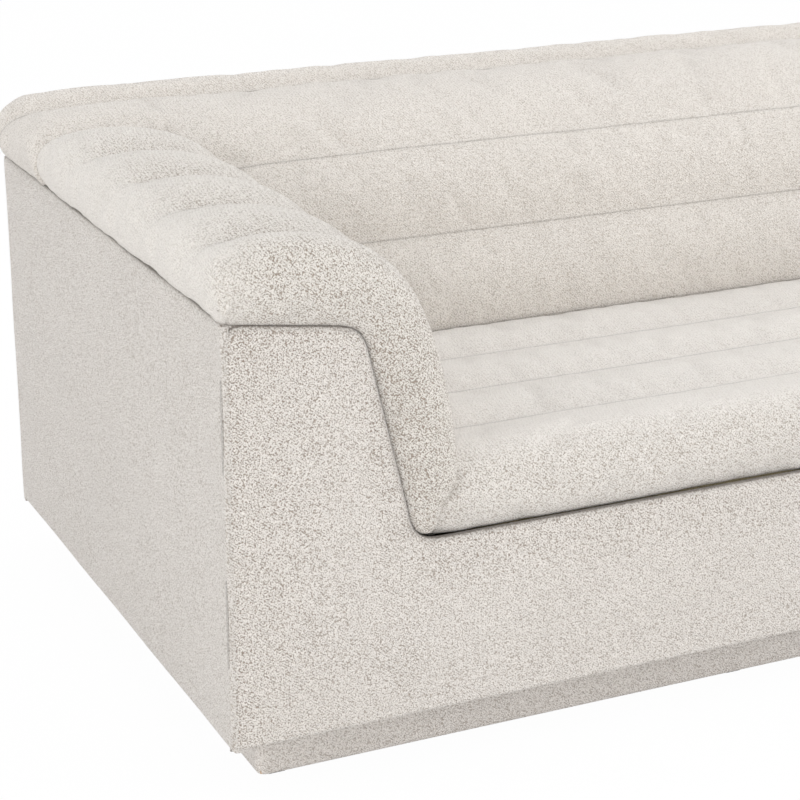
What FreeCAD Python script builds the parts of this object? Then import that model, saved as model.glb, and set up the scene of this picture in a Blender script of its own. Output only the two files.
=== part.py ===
# Tuxedo sofa: channelled pads over arms, back and seat of one height, on a recessed plinth.
# X runs along the sofa, Y from front to rear and Z up. The origin is on the floor, in the middle.

import FreeCAD, Part
import math
import os
import Sketcher
from FreeCAD import Vector

# Driving dimensions in millimetres. Distances along X start at an outer side of the casing, and
# distances along Y at its front, where the names don't say otherwise.
SIZES = {
    # Whole sofa
    "casing_width": 2400,
    "casing_depth": 1000,
    "top_height": 780,
    "plinth_height": 77,
    "plinth_recess": 59,
    "lip_drop": 103,
    "lip_overhang": 25,
    "lip_rise": 28,
    "band_proud": 12,
    "soft_gap": 0.3,
    "arm_clearance": 1,
    "seat_side_gap": 3,
    # Outer line of an arm
    "arm_width": 345,
    "arm_foot_tuck": 4,
    "arm_top_start": 5,
    "arm_top_drop": 10,
    "arm_top_rise": 16,
    "shoulder_run": 144,
    "shoulder_drop": 22,
    "shoulder_rise": 9,
    "shoulder_angle": 25,
    "side_run": 59,
    "side_drop": 105,
    "side_rise": 25,
    "side_angle": 62,
    "arm_band_depth": 113,
    "arm_channels": 4,
    "top_roll_depth": 215,
    "front_round": 22,
    "front_roll_depth": 28.6,
    # Seam of the front cover
    "seam_corner": 195,
    "seam_corner_fall": 29,
    "seam_foot": 272,
    "seam_round": 17,
    "seam_round_rise": 4.25,
    "seam_foot_round": 25,
    "seam_foot_rise": 6.5,
    "seam_gap": 0.5,
    # Seat
    "seat_height": 452,
    "seat_depth": 540,
    "seat_lip_height": 336,
    "seat_lip_rise": 14,
    "seat_nose": 8,
    "seat_roll_start": 20,
    "seat_pitch": 138,
    "seat_pad": 24,
    "foam_edge": 45,
    # Back
    "back_low_run": 60,
    "back_low_share": 0.424,
    "back_low_angle": 26.6,
    "back_high_run": 80,
    "back_high_share": 0.378,
    "back_high_angle": 44.2,
    "back_rise": 18,
    "top_roll_rise": 45,
    "shelf_setback": 64.4,
    "rear_seam_setback": 50,
    "rear_roll_width": 68,
    "rear_roll_rise": 14,
    "rear_nose_rise": 20,
    "rear_overhang": 30,
    "end_slope": 103,
    "end_rise": 3.5,
    "corner_round": 60,
    # Cloth and padding
    "channel_rise": 14,
    "pad": 32,
    "foam": 25,
    "cover": 12,
    "cover_round": 10,
    "plinth_cloth": 4,
    "plinth_round": 9,
    "dust_cloth": 1,
    # Boards and rails
    "board": 4,
    "inner_board": 6,
    "ply": 18,
    "rail": 24,
    "batten": 18,
    "batten_width": 80,
    "deck_height": 300,
    "side_rail_top": 180,
    "arm_rib_place": 400,
    "back_ribs": 4,
    "rib_hole": 50,
    "rib_hole_reach": 100,
    "rib_hole_rise": 40,
    "cross_rail_dip": 50,
    "cross_rail_ledge": 18,
    "cross_rail_place": 300,
    "block": 70,
    "block_height": 40,
    # Webbing
    "web_width": 60,
    "web": 2.5,
    "web_gap": 0.3,
    "web_count": 11,
    "long_web_count": 4,
    "web_margin": 3,
    "web_overlap": 20,
    # Feet
    "glide": 3,
    "glide_width": 24,
    "glide_count": 4,
    "cover_lift": 1,
}

# Where the sections of a lofted channel lie, as shares of its half pitch, of its front roll and of
# the way from its crown to its valley
CHANNEL_STEPS = (-1, -0.8, -0.55, -0.25, 0.25, 0.55, 0.8, 1)
FRONT_STEPS = (0, 0.1, 0.3, 0.6, 1)
CROWN_STEPS = (0, 0.4, 0.7, 1)

doc = FreeCAD.newDocument("TuxedoSofa")
sheet = doc.addObject("Spreadsheet::Sheet", "Size")
for row, (name, number) in enumerate(SIZES.items(), 1):
    sheet.set(f"A{row}", name)
    sheet.set(f"B{row}", str(number))
    sheet.setAlias(f"B{row}", name)
doc.recompute()
nodes = []


class Length:
    """A size as a number, together with the expression that binds a property to the sheet."""

    def __init__(self, value, text):
        self.value = value
        self.text = text

    def __add__(self, other):
        other = as_length(other)
        return Length(self.value + other.value, f"({self.text} + {other.text})")

    def __sub__(self, other):
        other = as_length(other)
        return Length(self.value - other.value, f"({self.text} - {other.text})")

    def __mul__(self, other):
        other = as_length(other)
        return Length(self.value * other.value, f"({self.text} * {other.text})")

    def __truediv__(self, other):
        other = as_length(other)
        return Length(self.value / other.value, f"({self.text} / {other.text})")

    def __neg__(self):
        return Length(-self.value, f"(0 - {self.text})")

    def __radd__(self, other):
        return as_length(other) + self

    def __rsub__(self, other):
        return as_length(other) - self

    def __rmul__(self, other):
        return as_length(other) * self


def as_length(number):
    """A Length as it is, or a plain number turned into one."""
    if isinstance(number, Length):
        return number
    return Length(float(number), f"({float(number)})")


def size(name):
    """A named size from the sheet."""
    return Length(float(sheet.get(name)), f"Size.{name}")


def sine(angle):
    return Length(math.sin(math.radians(angle.value)), f"sin({angle.text})")


def cosine(angle):
    return Length(math.cos(math.radians(angle.value)), f"cos({angle.text})")


def bind(thing, name, length):
    """Tie one property of an object to the sheet."""
    thing.setExpression(name, as_length(length).text)


# Planes that most pieces are placed from
gap = size("soft_gap")
half = size("casing_width") / 2
front = -(size("casing_depth") + size("lip_overhang") - size("band_proud")) / 2
casing_bottom = size("plinth_height") + size("dust_cloth")
batten_top = casing_bottom + size("batten")
lip_bottom = size("top_height") - size("lip_drop")
deck = size("deck_height")
web_top = deck + size("web") * 2 + size("web_gap") * 2
seat_valley = size("seat_height") - size("channel_rise")
foam_top = seat_valley - size("seat_pad")
side_inset = size("cover") + size("board")
rear_inset = size("casing_depth") - side_inset
top_roll_front = size("casing_depth") - size("top_roll_depth")
base_depth = size("channel_rise") + size("pad")
wood_depth = base_depth + size("foam")
pad_base = size("top_height") - size("arm_top_drop") - base_depth
reach = half - size("arm_width") - size("seat_side_gap")
arm_pitch = (top_roll_front - size("arm_band_depth")) / size("arm_channels")


def left(distance):
    """X at a distance inward from the left side of the casing."""
    return as_length(distance) - half


def along(distance):
    """Y at a distance behind the front of the casing."""
    return front + distance


def mirrored_knots(knots):
    """The knots of an outline's right half, made from its left half, walked the other way."""
    turned = []
    for index in range(len(knots) - 1, -1, -1):
        knot = (-knots[index][0], knots[index][1])
        if index > 0 and len(knots[index - 1]) > 2:
            knot = knot + (knots[index - 1][2],)
        turned.append(knot)
    return turned


def draw_outline(sketch, knots):
    """Close lines and arcs through the knots. A third value is the rise of the arc that follows."""
    count = len(knots)
    ends = []
    for index, knot in enumerate(knots):
        after = knots[(index + 1) % count]
        start = Vector(knot[0].value, knot[1].value, 0)
        end = Vector(after[0].value, after[1].value, 0)
        if len(knot) == 2:
            sketch.addGeometry(Part.LineSegment(start, end), False)
            ends.append((1, 2))
            continue
        rise = as_length(knot[2]).value
        chord = end - start
        to_left = Vector(-chord.y, chord.x, 0).normalize()
        radius = (chord.Length ** 2 / 4 + rise ** 2) / (2 * abs(rise))
        centre = (start + end) / 2 + to_left * (rise - math.copysign(radius, rise))
        first, last = (end, start) if rise > 0 else (start, end)
        turn = [math.atan2(point.y - centre.y, point.x - centre.x) for point in (first, last)]
        circle = Part.Circle(centre, Vector(0, 0, 1), radius)
        sketch.addGeometry(Part.ArcOfCircle(circle, turn[0], turn[1]), False)
        ends.append((2, 1) if rise > 0 else (1, 2))
    rules = []
    names = []
    for index, knot in enumerate(knots):
        following = (index + 1) % count
        rules.append(Sketcher.Constraint("Coincident", index, ends[index][1], following, ends[following][0]))
        for axis, kind in enumerate(("DistanceX", "DistanceY")):
            names.append((len(rules), f"{kind}_{index}", knot[axis]))
            rules.append(Sketcher.Constraint(kind, -1, 1, index, ends[index][0], knot[axis].value))
        if len(knot) > 2:
            after = knots[following]
            across = after[0] - knot[0]
            up = after[1] - knot[1]
            rise = as_length(knot[2])
            radius = ((across * across + up * up) / 4 + rise * rise) / (rise * 2)
            radius = radius if rise.value > 0 else -radius
            names.append((len(rules), f"Radius_{index}", radius))
            rules.append(Sketcher.Constraint("Radius", index, radius.value))
    sketch.addConstraint(rules)
    for place, name, length in names:
        sketch.renameConstraint(place, name)
        bind(sketch, f"Constraints.{name}", length)


def sketch_on(body, role, place, knots):
    """An outline on one of a body's origin planes, moved along that plane's axis."""
    plane = [feature for feature in body.Origin.OriginFeatures if feature.Role == role][0]
    sketch = body.newObject("Sketcher::SketchObject", body.Name + "_outline")
    sketch.AttachmentSupport = (plane, "")
    sketch.MapMode = "FlatFace"
    bind(sketch, "AttachmentOffset.Base.z", -place if role == "XZ_Plane" else place)
    draw_outline(sketch, knots)
    return sketch


def keep(thing, label):
    """Name a finished piece and list it."""
    thing.Label = label
    nodes.append(thing)
    return thing


def new_body(label):
    return doc.addObject("PartDesign::Body", label)


def add_pad(body, role, place, depth, knots):
    """Extrude an outline along the plane's axis, from place for the given depth."""
    sketch = sketch_on(body, role, as_length(place), knots)
    pad = body.newObject("PartDesign::Pad", body.Name + "_pad")
    pad.Profile = sketch
    pad.Reversed = role == "XZ_Plane"
    bind(pad, "Length", depth)
    body.Tip = pad
    return pad


def add_pocket(body, role, place, depth, knots):
    """Cut an outline away along the plane's axis, from place for the given depth."""
    sketch = sketch_on(body, role, as_length(place), knots)
    pocket = body.newObject("PartDesign::Pocket", body.Name + "_pocket")
    pocket.Profile = sketch
    pocket.Reversed = role != "XZ_Plane"
    bind(pocket, "Length", depth)
    body.Tip = pocket
    return pocket


def plate(label, role, place, depth, knots):
    """A board or cover with one outline right through."""
    body = new_body(label)
    add_pad(body, role, place, depth, knots)
    return body


def box(label, low, high):
    """A straight board between two corners, each given as three lengths."""
    solid = doc.addObject("Part::Box", label)
    for name, axis in (("Length", 0), ("Width", 1), ("Height", 2)):
        bind(solid, name, as_length(high[axis]) - low[axis])
    for name, axis in (("x", 0), ("y", 1), ("z", 2)):
        bind(solid, "Placement.Base." + name, as_length(low[axis]))
    return solid


def right_hand(source, label):
    """The mirror image of a left piece."""
    solid = doc.addObject("Part::Mirroring", label)
    solid.Source = source
    solid.Normal = Vector(1, 0, 0)
    return keep(solid, label)


def pair(source, name):
    """Keep a left piece and make its right one."""
    keep(source, "left_" + name)
    right_hand(source, "right_" + name)


def rectangle(low_a, low_b, high_a, high_b):
    return [(low_a, low_b), (low_a, high_b), (high_a, high_b), (high_a, low_b)]


def round_edges(body, radius, chosen):
    """Fillet the edges of a body's tip that the chosen test picks."""
    doc.recompute()
    base = body.Tip
    names = [f"Edge{place}" for place, edge in enumerate(base.Shape.Edges, 1) if chosen(edge.BoundBox)]
    fillet = body.newObject("PartDesign::Fillet", body.Name + "_fillet")
    fillet.Base = (base, names)
    bind(fillet, "Radius", radius)
    body.Tip = fillet


def is_upright(limits):
    return limits.XLength < 0.01 and limits.YLength < 0.01


# Lines that pads, foam and boards share


def arm_line(depth, foot):
    """An arm's outer line, depth below its crowns, from under the lip over the top to the foot."""
    top = size("top_height")
    shoulder = size("arm_width") - size("shoulder_run")
    side = size("arm_width") - size("side_run")
    lean = sine(size("shoulder_angle"))
    fall = cosine(size("shoulder_angle"))
    side_lean = sine(size("side_angle"))
    side_fall = cosine(size("side_angle"))
    start = size("arm_top_start") + depth * sine(size("shoulder_angle")) / 2
    return [
        (left(0), lip_bottom, size("lip_rise") - depth),
        (left(start), top - size("arm_top_drop") - depth, size("arm_top_rise")),
        (left(shoulder - depth * lean), top - size("shoulder_drop") - depth * fall, size("shoulder_rise")),
        (left(side - depth * side_lean), top - size("side_drop") - depth * side_fall, size("side_rise")),
        (left(size("arm_width") - size("arm_foot_tuck") - depth), foot),
    ]


def arm_inside(depth, foot):
    """The straight-sided line that lies depth below an arm's crowns, on its top and inner side."""
    knots = arm_line(depth, foot)
    top = size("top_height") - size("arm_top_drop") - depth
    return [(left(size("cover")), top), knots[2][:2], knots[3][:2], knots[4][:2]]


def back_line(foot):
    """The back's outer line in its valleys, from the seat over the top to under the rear lip."""
    top = size("top_height")
    low = size("seat_depth") + size("back_low_run")
    high = low + size("back_high_run")
    climb = top - size("rear_roll_rise") - seat_valley
    low_top = seat_valley + climb * size("back_low_share")
    high_top = low_top + climb * size("back_high_share")
    seam = size("casing_depth") - size("rear_seam_setback")
    return [
        (along(size("seat_depth")), foot),
        (along(size("seat_depth")), seat_valley, size("back_rise")),
        (along(low), low_top, size("back_rise")),
        (along(high), high_top, size("top_roll_rise")),
        (along(seam), top - size("rear_roll_rise"), size("rear_roll_rise")),
        (along(seam + size("rear_roll_width")), top - size("rear_roll_rise"), size("rear_nose_rise")),
        (along(size("casing_depth")), lip_bottom),
    ]


def back_inside(depth):
    """The straight-sided line that lies depth inside the back's valleys, from the deck to the top."""
    knots = back_line(deck)
    inside = [(knots[0][0] + depth, web_top + gap)]
    for knot, name in ((knots[2], "back_low_angle"), (knots[3], "back_high_angle")):
        inside.append((knot[0] + depth * cosine(size(name)), knot[1] - depth * sine(size(name))))
    return inside


def seam_line(out):
    """The front cover's seam on the left arm, moved outward: top, round corner, inner line, foot."""
    corner = size("seam_corner")
    fall = size("seam_corner_fall")
    foot = size("seam_foot")
    lip = size("seat_lip_height")
    turn = size("seam_round")
    foot_turn = size("seam_foot_round")
    slope = fall / corner
    lean = (foot - corner) / (lip_bottom - fall - lip)
    return [
        (left(0), lip_bottom - gap + out),
        (left(corner - turn), lip_bottom - gap - fall + turn * slope + out, size("seam_round_rise")),
        (left(corner + turn * lean + out), lip_bottom - gap - fall - turn + out),
        (left(foot - foot_turn * lean + out), lip + foot_turn + out, -size("seam_foot_rise")),
        (left(foot + foot_turn + out), lip + out),
    ]


# Plinth: four boards with two braces, wrapped in the sofa's cloth


def make_plinth():
    glide = size("glide")
    top = size("plinth_height")
    cloth = size("plinth_cloth")
    ply = size("ply")
    outer = half - size("plinth_recess")
    low = along(size("plinth_recess"))
    high = along(size("casing_depth") - size("plinth_recess"))
    board = outer - cloth
    for name, start in (("front", low + cloth), ("back", high - cloth - ply)):
        label = f"plinth_{name}_board"
        keep(box(label, (-board, start, glide), (board, start + ply, top)), label)
    inner_low = low + cloth + ply
    inner_high = high - cloth - ply
    pair(box("plinth_left_board", (-board, inner_low, glide), (ply - board, inner_high, top)), "plinth_board")
    brace = -size("cross_rail_place")
    pair(
        box("plinth_left_brace", (brace - ply / 2, inner_low, glide), (brace + ply / 2, inner_high, top)),
        "plinth_brace",
    )
    cover = new_body("plinth_cover")
    lift = size("cover_lift")
    add_pad(cover, "XY_Plane", lift, top - lift, rectangle(-outer, low, outer, high))
    round_edges(cover, size("plinth_round"), is_upright)
    inner = rectangle(-board, low + cloth, board, high - cloth)
    add_pocket(cover, "XY_Plane", 0, top + cloth, inner)
    keep(cover, "plinth_cover")
    make_glides(board, low + cloth, high - cloth)


def make_glides(board, low, high):
    """A row of plastic pads under each long plinth board."""
    wide = size("glide_width")
    ply = size("ply")
    pads = []
    count = int(size("glide_count").value)
    for row, start in enumerate((low, high - ply)):
        for place in range(count):
            middle = (board - wide) * (2 * place / (count - 1) - 1)
            corner = (middle - wide / 2, start, as_length(0))
            pads.append(box(f"glide_{row}_{place}", corner, (middle + wide / 2, start + ply, size("glide"))))
    group = doc.addObject("Part::Compound", "plinth_glides")
    group.Links = pads
    keep(group, "plinth_glides")


def batten_places():
    """X of the middles of the six battens: under the side rails, stretchers and cross rails."""
    side = half - side_inset - size("batten_width") / 2
    stretcher = half - stretcher_inset() + size("rail") / 2
    cross = size("cross_rail_place")
    return [-side, -stretcher, -cross, cross, stretcher, side]


def stretcher_inset():
    """How far the seat side of an arm stretcher lies from the casing's side."""
    return size("arm_width") - size("arm_foot_tuck") - wood_depth


# Base: dust cover, battens and the rails that stand on them


def make_base():
    cover = size("cover")
    ply = size("ply")
    rail = size("rail")
    inset = half - side_inset
    stretch = half - stretcher_inset()
    dust = box(
        "dust_cover",
        (-half + cover, along(cover), size("plinth_height")),
        (half - cover, along(size("casing_depth") - cover), casing_bottom),
    )
    keep(dust, "dust_cover")
    wide = size("batten_width") / 2
    for place, middle in enumerate(batten_places(), 1):
        low = (middle - wide, along(cover), casing_bottom)
        high = (middle + wide, along(rear_inset), batten_top)
        keep(box(f"base_batten_{place}", low, high), f"base_batten_{place}")
    keep(
        box("seat_front_rail", (-stretch, along(cover), batten_top), (stretch, along(cover + rail), deck)),
        "seat_front_rail",
    )
    rear = deck_back()
    keep(
        box("deck_back_rail", (-stretch, along(rear - rail), batten_top), (stretch, along(rear), deck)),
        "deck_back_rail",
    )
    keep(
        box(
            "rear_bottom_rail",
            (-inset, along(rear_inset - rail), batten_top),
            (inset, along(rear_inset), size("side_rail_top")),
        ),
        "rear_bottom_rail",
    )
    side = box(
        "left_side_rail",
        (-inset, along(cover + ply), batten_top),
        (rail - inset, along(rear_inset - rail), size("side_rail_top")),
    )
    pair(side, "side_rail")
    stretcher = box(
        "left_arm_stretcher", (-stretch - rail, along(cover + ply), batten_top), (-stretch, along(rear), deck)
    )
    pair(stretcher, "arm_stretcher")
    make_cross_rails(rear)
    make_corner_blocks(stretch, rear)


def deck_back():
    """Rear face of the rail behind the seat, measured from the casing's front."""
    return size("seat_depth") + wood_depth + size("rail")


def make_cross_rails(rear):
    """Two rails under the webbing, dipped so that the seat can sink."""
    low = along(size("cover") + size("rail"))
    high = along(rear - size("rail"))
    top = deck
    dip = size("cross_rail_dip")
    shoulder = size("block")
    ledge = size("cross_rail_ledge")
    knots = [
        (low, batten_top),
        (low, top),
        (low + ledge, top),
        (low + shoulder, top - dip),
        (high - shoulder, top - dip),
        (high - ledge, top),
        (high, top),
        (high, batten_top),
    ]
    place = -size("cross_rail_place") - size("ply") / 2
    pair(plate("left_cross_rail", "YZ_Plane", place, size("ply"), knots), "cross_rail")


def make_corner_blocks(stretch, rear):
    """Three-cornered blocks that brace the seat frame, below the webbing."""
    low = along(size("cover") + size("rail"))
    high = along(rear - size("rail"))
    side = size("block")
    top = deck - size("web") - size("web_gap") - size("web")
    blocks = []
    for place, (corner, step) in enumerate(((low, side), (high, -side))):
        knots = [(-stretch, corner), (-stretch, corner + step), (side - stretch, corner)]
        block = plate(f"block_{place}", "XY_Plane", top - size("block_height"), size("block_height"), knots)
        other = doc.addObject("Part::Mirroring", f"block_{place}_right")
        other.Source = block
        other.Normal = Vector(1, 0, 0)
        blocks.extend((block, other))
    group = doc.addObject("Part::Compound", "corner_blocks")
    group.Links = blocks
    keep(group, "corner_blocks")


# Webbing: bands from front to rear lie flat, and the lengthwise bands weave over and under them


def web_places():
    """X of the middles of the bands that run from front to rear."""
    count = int(size("web_count").value)
    run = half - stretcher_inset() - size("web_width")
    return [run * (2 * place / (count - 1) - 1) for place in range(count)]


def make_webbing():
    low = along(size("cover") + size("rail") - size("web_overlap"))
    high = along(deck_back() - size("rail") + size("web_overlap"))
    wide = size("web_width")
    thick = size("web")
    bands = []
    for place, middle in enumerate(web_places()):
        corner = (middle - wide / 2, low, deck)
        bands.append(box(f"cross_band_{place}", corner, (middle + wide / 2, high, deck + thick)))
    group = doc.addObject("Part::Compound", "seat_webbing_front_to_rear")
    group.Links = bands
    keep(group, "seat_webbing_front_to_rear")
    make_woven_bands(low, high)


def woven_line(first):
    """Top line of a woven band from left to right, over the first band or under it."""
    step = size("web") + size("web_gap")
    end = half - stretcher_inset() + size("web_overlap")
    side = size("web_width") / 2 + size("web_gap") + size("web_margin")
    thick = size("web")
    knots = [(-end, deck + thick), (-end + size("web_overlap"), deck + thick)]
    for place, middle in enumerate(web_places()):
        over = (place + first) % 2 == 0
        height = deck + thick + step if over else deck + thick - step
        knots.append((middle - side, height))
        knots.append((middle + side, height))
    knots.append((end - size("web_overlap"), deck + thick))
    knots.append((end, deck + thick))
    return knots


def make_woven_bands(low, high):
    count = int(size("long_web_count").value)
    pitch = (high - low) / count
    bands = []
    for place in range(count):
        top = woven_line(place % 2)
        bottom = [(x, z - size("web")) for x, z in reversed(top)]
        start = low + pitch * (place + 0.5) - size("web_width") / 2
        band = plate(f"long_band_{place}", "XZ_Plane", start, size("web_width"), top + bottom)
        bands.append(band)
    group = doc.addObject("Part::Compound", "seat_webbing_lengthwise")
    group.Links = bands
    keep(group, "seat_webbing_lengthwise")


# Arms: boards inside, foam over them, a channelled pad and a side cover


def make_arm_frame():
    cover = size("cover")
    ply = size("ply")
    wood = arm_inside(wood_depth, deck)
    top = wood[1][1]
    outer = left(side_inset)
    inner_board = size("inner_board")
    foot = web_top + gap
    front_panel = plate(
        "left_arm_front_panel",
        "XZ_Plane",
        along(cover),
        ply,
        [(outer, batten_top), (outer, top), wood[1], wood[2], (wood[3][0], deck), (wood[3][0], batten_top)],
    )
    pair(front_panel, "arm_front_panel")
    seat_side = left(stretcher_inset())
    rib_knots = [
        (outer, size("side_rail_top")),
        (outer, top - ply),
        (wood[1][0], top - ply),
        (wood[2][0] - inner_board, wood[2][1]),
        (wood[3][0] - inner_board, foot),
        (seat_side - size("rail"), foot),
        (seat_side - size("rail"), size("side_rail_top")),
    ]
    rib = new_body("left_arm_rib")
    add_pad(rib, "XZ_Plane", along(size("arm_rib_place")), ply, rib_knots)
    hole = size("rib_hole")
    tall = size("rib_hole_reach")
    middle = (outer + seat_side - size("rail")) / 2
    centre = (size("side_rail_top") + top - ply) / 2
    add_pocket(
        rib,
        "XZ_Plane",
        along(size("arm_rib_place")),
        ply,
        [
            (middle - hole, centre - tall),
            (middle - hole, centre + tall, size("rib_hole_rise")),
            (middle + hole, centre + tall),
            (middle + hole, centre - tall, size("rib_hole_rise")),
        ],
    )
    pair(rib, "arm_rib")
    rear = along(rear_inset)
    pair(
        box("left_arm_top_board", (outer, along(cover + ply), top - ply), (wood[1][0], rear, top)),
        "arm_top_board",
    )
    board_knots = [
        (wood[2][0] - inner_board, wood[2][1]),
        wood[2],
        (wood[3][0], foot),
        (wood[3][0] - inner_board, foot),
    ]
    inner_end = deck_back() - (cover + ply)
    pair(
        plate("left_arm_inner_board", "XZ_Plane", along(cover + ply), inner_end, board_knots),
        "arm_inner_board",
    )
    pair(
        box(
            "left_arm_outer_board",
            (left(cover), along(cover), casing_bottom),
            (outer, along(size("casing_depth") - cover), top - ply),
        ),
        "arm_outer_board",
    )
    pair(
        box(
            "left_end_rib",
            (outer, along(deck_back()), size("side_rail_top")),
            (outer + ply, rear, top - ply),
        ),
        "end_rib",
    )


def make_arm_foam():
    """One bent slab over the top and the inner side of an arm's boards."""
    outside = arm_inside(base_depth + gap, web_top + gap)
    inside = arm_inside(wood_depth, web_top + gap)
    edge = left(size("cover") + gap)
    knots = [
        (edge, inside[1][1] + gap),
        (edge, outside[0][1]),
        outside[1],
        outside[2],
        outside[3],
        (inside[3][0] + gap, inside[3][1]),
        (inside[2][0] + gap, inside[2][1]),
        (inside[1][0] + gap, inside[1][1] + gap),
    ]
    end = rear_inset - size("cover") - gap
    pair(plate("left_arm_foam", "XZ_Plane", along(size("cover") + gap), end, knots), "arm_foam")


def arm_section(depth, foot):
    """A closed section of an arm pad before its inside is cut out."""
    inner = left(size("cover"))
    return arm_line(depth, foot) + [(inner, foot), (inner, lip_bottom)]


def front_rows(first):
    """Places and depths of the sections of the front channel: a round front, a crown and a valley."""
    proud = size("band_proud")
    rows = []
    for step in FRONT_STEPS:
        share = 1 - math.sqrt(1 - (1 - step) ** 2)
        rows.append(((size("front_roll_depth") + proud) * step - proud, size("front_round") * share))
    crown = first / 2
    for step in CROWN_STEPS:
        rows.append((crown + (first - crown) * step, size("channel_rise") * step ** 2))
    return rows


def channel_rows(first):
    """Places and depths of the sections of one channel: a parabola from valley to valley."""
    rows = []
    for step in CHANNEL_STEPS:
        rows.append((first + arm_pitch / 2 * (1 + step), size("channel_rise") * step ** 2))
    return rows


def add_channel(body, rows, foot):
    """Loft an arm's sections through the given places and depths."""
    sections = [sketch_on(body, "XZ_Plane", along(place), arm_section(depth, foot)) for place, depth in rows]
    loft = body.newObject("PartDesign::AdditiveLoft", body.Name + "_channel")
    loft.Profile = sections[0]
    loft.Sections = sections[1:]
    loft.Ruled = True
    body.Tip = loft
    return loft


def make_arm_pad():
    """Crowned channels across the arm, each a loft between its valleys, and a rounded front band."""
    body = new_body("left_arm_channel_pad")
    foot = web_top + gap
    first = size("arm_band_depth")
    count = size("arm_channels")
    rise = size("channel_rise")
    add_channel(body, front_rows(first), foot)
    channel = add_channel(body, channel_rows(first), foot)
    row = body.newObject("PartDesign::LinearPattern", "left_channel_row")
    row.Originals = [channel]
    row.Direction = ([axis for axis in body.Origin.OriginFeatures if axis.Role == "Y_Axis"][0], [""])
    bind(row, "Length", arm_pitch * (count - 1))
    bind(row, "Occurrences", count)
    body.Tip = row
    inside = arm_inside(base_depth, foot)
    hollow = [(inside[0][0], foot - rise), inside[0], inside[1], inside[2], inside[3], (inside[3][0], foot - rise)]
    add_pocket(body, "XZ_Plane", along(size("cover")), size("casing_depth"), hollow)
    seam = seam_line(size("seam_gap"))
    below = foot - rise
    far = left(size("arm_width") * 2)
    outside = left(-size("lip_overhang"))
    region = [(outside, below), (outside, lip_bottom), (left(0), lip_bottom)] + seam[1:]
    region = region + [(far, seam[4][1]), (far, below)]
    depth = size("cover") + size("band_proud") * 2
    add_pocket(body, "XZ_Plane", along(-size("band_proud") * 2), depth, region)
    pair(body, "arm_channel_pad")


def make_covers():
    """Cloth with its wadding over front, sides and rear."""
    cover = size("cover")
    knots = [(left(0), casing_bottom)] + seam_line(as_length(0))
    front_cover = new_body("front_cover")
    add_pad(front_cover, "XZ_Plane", front, cover, knots + mirrored_knots(knots))
    outer = half.value
    round_edges(
        front_cover,
        size("cover_round"),
        lambda limits: is_upright(limits) and abs(abs(limits.XMin) - outer) < 0.01 and limits.YMin < front.value + 1,
    )
    keep(front_cover, "front_cover")
    side = box(
        "left_side_cover",
        (left(0), along(cover), casing_bottom),
        (left(cover), along(size("casing_depth") - cover), lip_bottom - gap),
    )
    pair(side, "side_cover")
    rear = new_body("rear_cover")
    add_pad(
        rear,
        "XZ_Plane",
        along(size("casing_depth") - cover),
        cover,
        rectangle(left(0), casing_bottom, half, lip_bottom - gap),
    )
    last = along(size("casing_depth")).value
    round_edges(
        rear, size("cover_round"), lambda limits: is_upright(limits) and abs(limits.YMax - last) < 0.01
    )
    keep(rear, "rear_cover")


# Back: ribs and boards, foam, and long rolls that end in the lip at both sides


def make_back_frame():
    cover = size("cover")
    ply = size("ply")
    rail = size("rail")
    wood = back_inside(wood_depth)
    top = arm_inside(wood_depth, deck)[1][1]
    board = size("inner_board")
    foot = web_top + gap
    rear = along(rear_inset)
    slope = (wood[2][0] - wood[1][0]) / (wood[2][1] - wood[1][1])
    shelf = wood[2][0] + (top - wood[2][1]) * slope
    behind = along(deck_back())
    knots = [
        (behind, batten_top),
        (behind, foot),
        (wood[0][0] + board, foot),
        (wood[1][0] + board, wood[1][1]),
        (wood[2][0] + board, wood[2][1]),
        (shelf + board, top - ply),
        (rear, top - ply),
        (rear, size("side_rail_top")),
        (rear - rail, size("side_rail_top")),
        (rear - rail, batten_top),
    ]
    hole = size("rib_hole")
    low = size("rib_hole_reach")
    middle = (behind + rear) / 2
    centre = (size("side_rail_top") + top - ply) / 2
    count = int(size("back_ribs").value)
    for number in range(count):
        place = (reach - ply / 2) * (2 * number / (count - 1) - 1) - ply / 2
        rib = new_body(f"back_rib_{number + 1}")
        add_pad(rib, "YZ_Plane", place, ply, knots)
        opening = [
            (middle - hole, centre - low),
            (middle - hole, centre + hole, size("rib_hole_rise")),
            (middle + hole, centre + hole),
            (middle + hole, centre - low, size("rib_hole_rise")),
        ]
        add_pocket(rib, "YZ_Plane", place, ply, opening)
        keep(rib, f"back_rib_{number + 1}")
    keep(box("back_top_board", (-reach, shelf + board, top - ply), (reach, rear, top)), "back_top_board")
    inner = [
        wood[0],
        wood[1],
        wood[2],
        (wood[2][0] + board, wood[2][1]),
        (wood[1][0] + board, wood[1][1]),
        (wood[0][0] + board, wood[0][1]),
    ]
    keep(plate("back_inner_board", "YZ_Plane", -reach, reach * 2, inner), "back_inner_board")
    inset = half - side_inset
    keep(
        box("back_outer_board", (-inset, rear, casing_bottom), (inset, rear + size("board"), top - ply)),
        "back_outer_board",
    )


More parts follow.
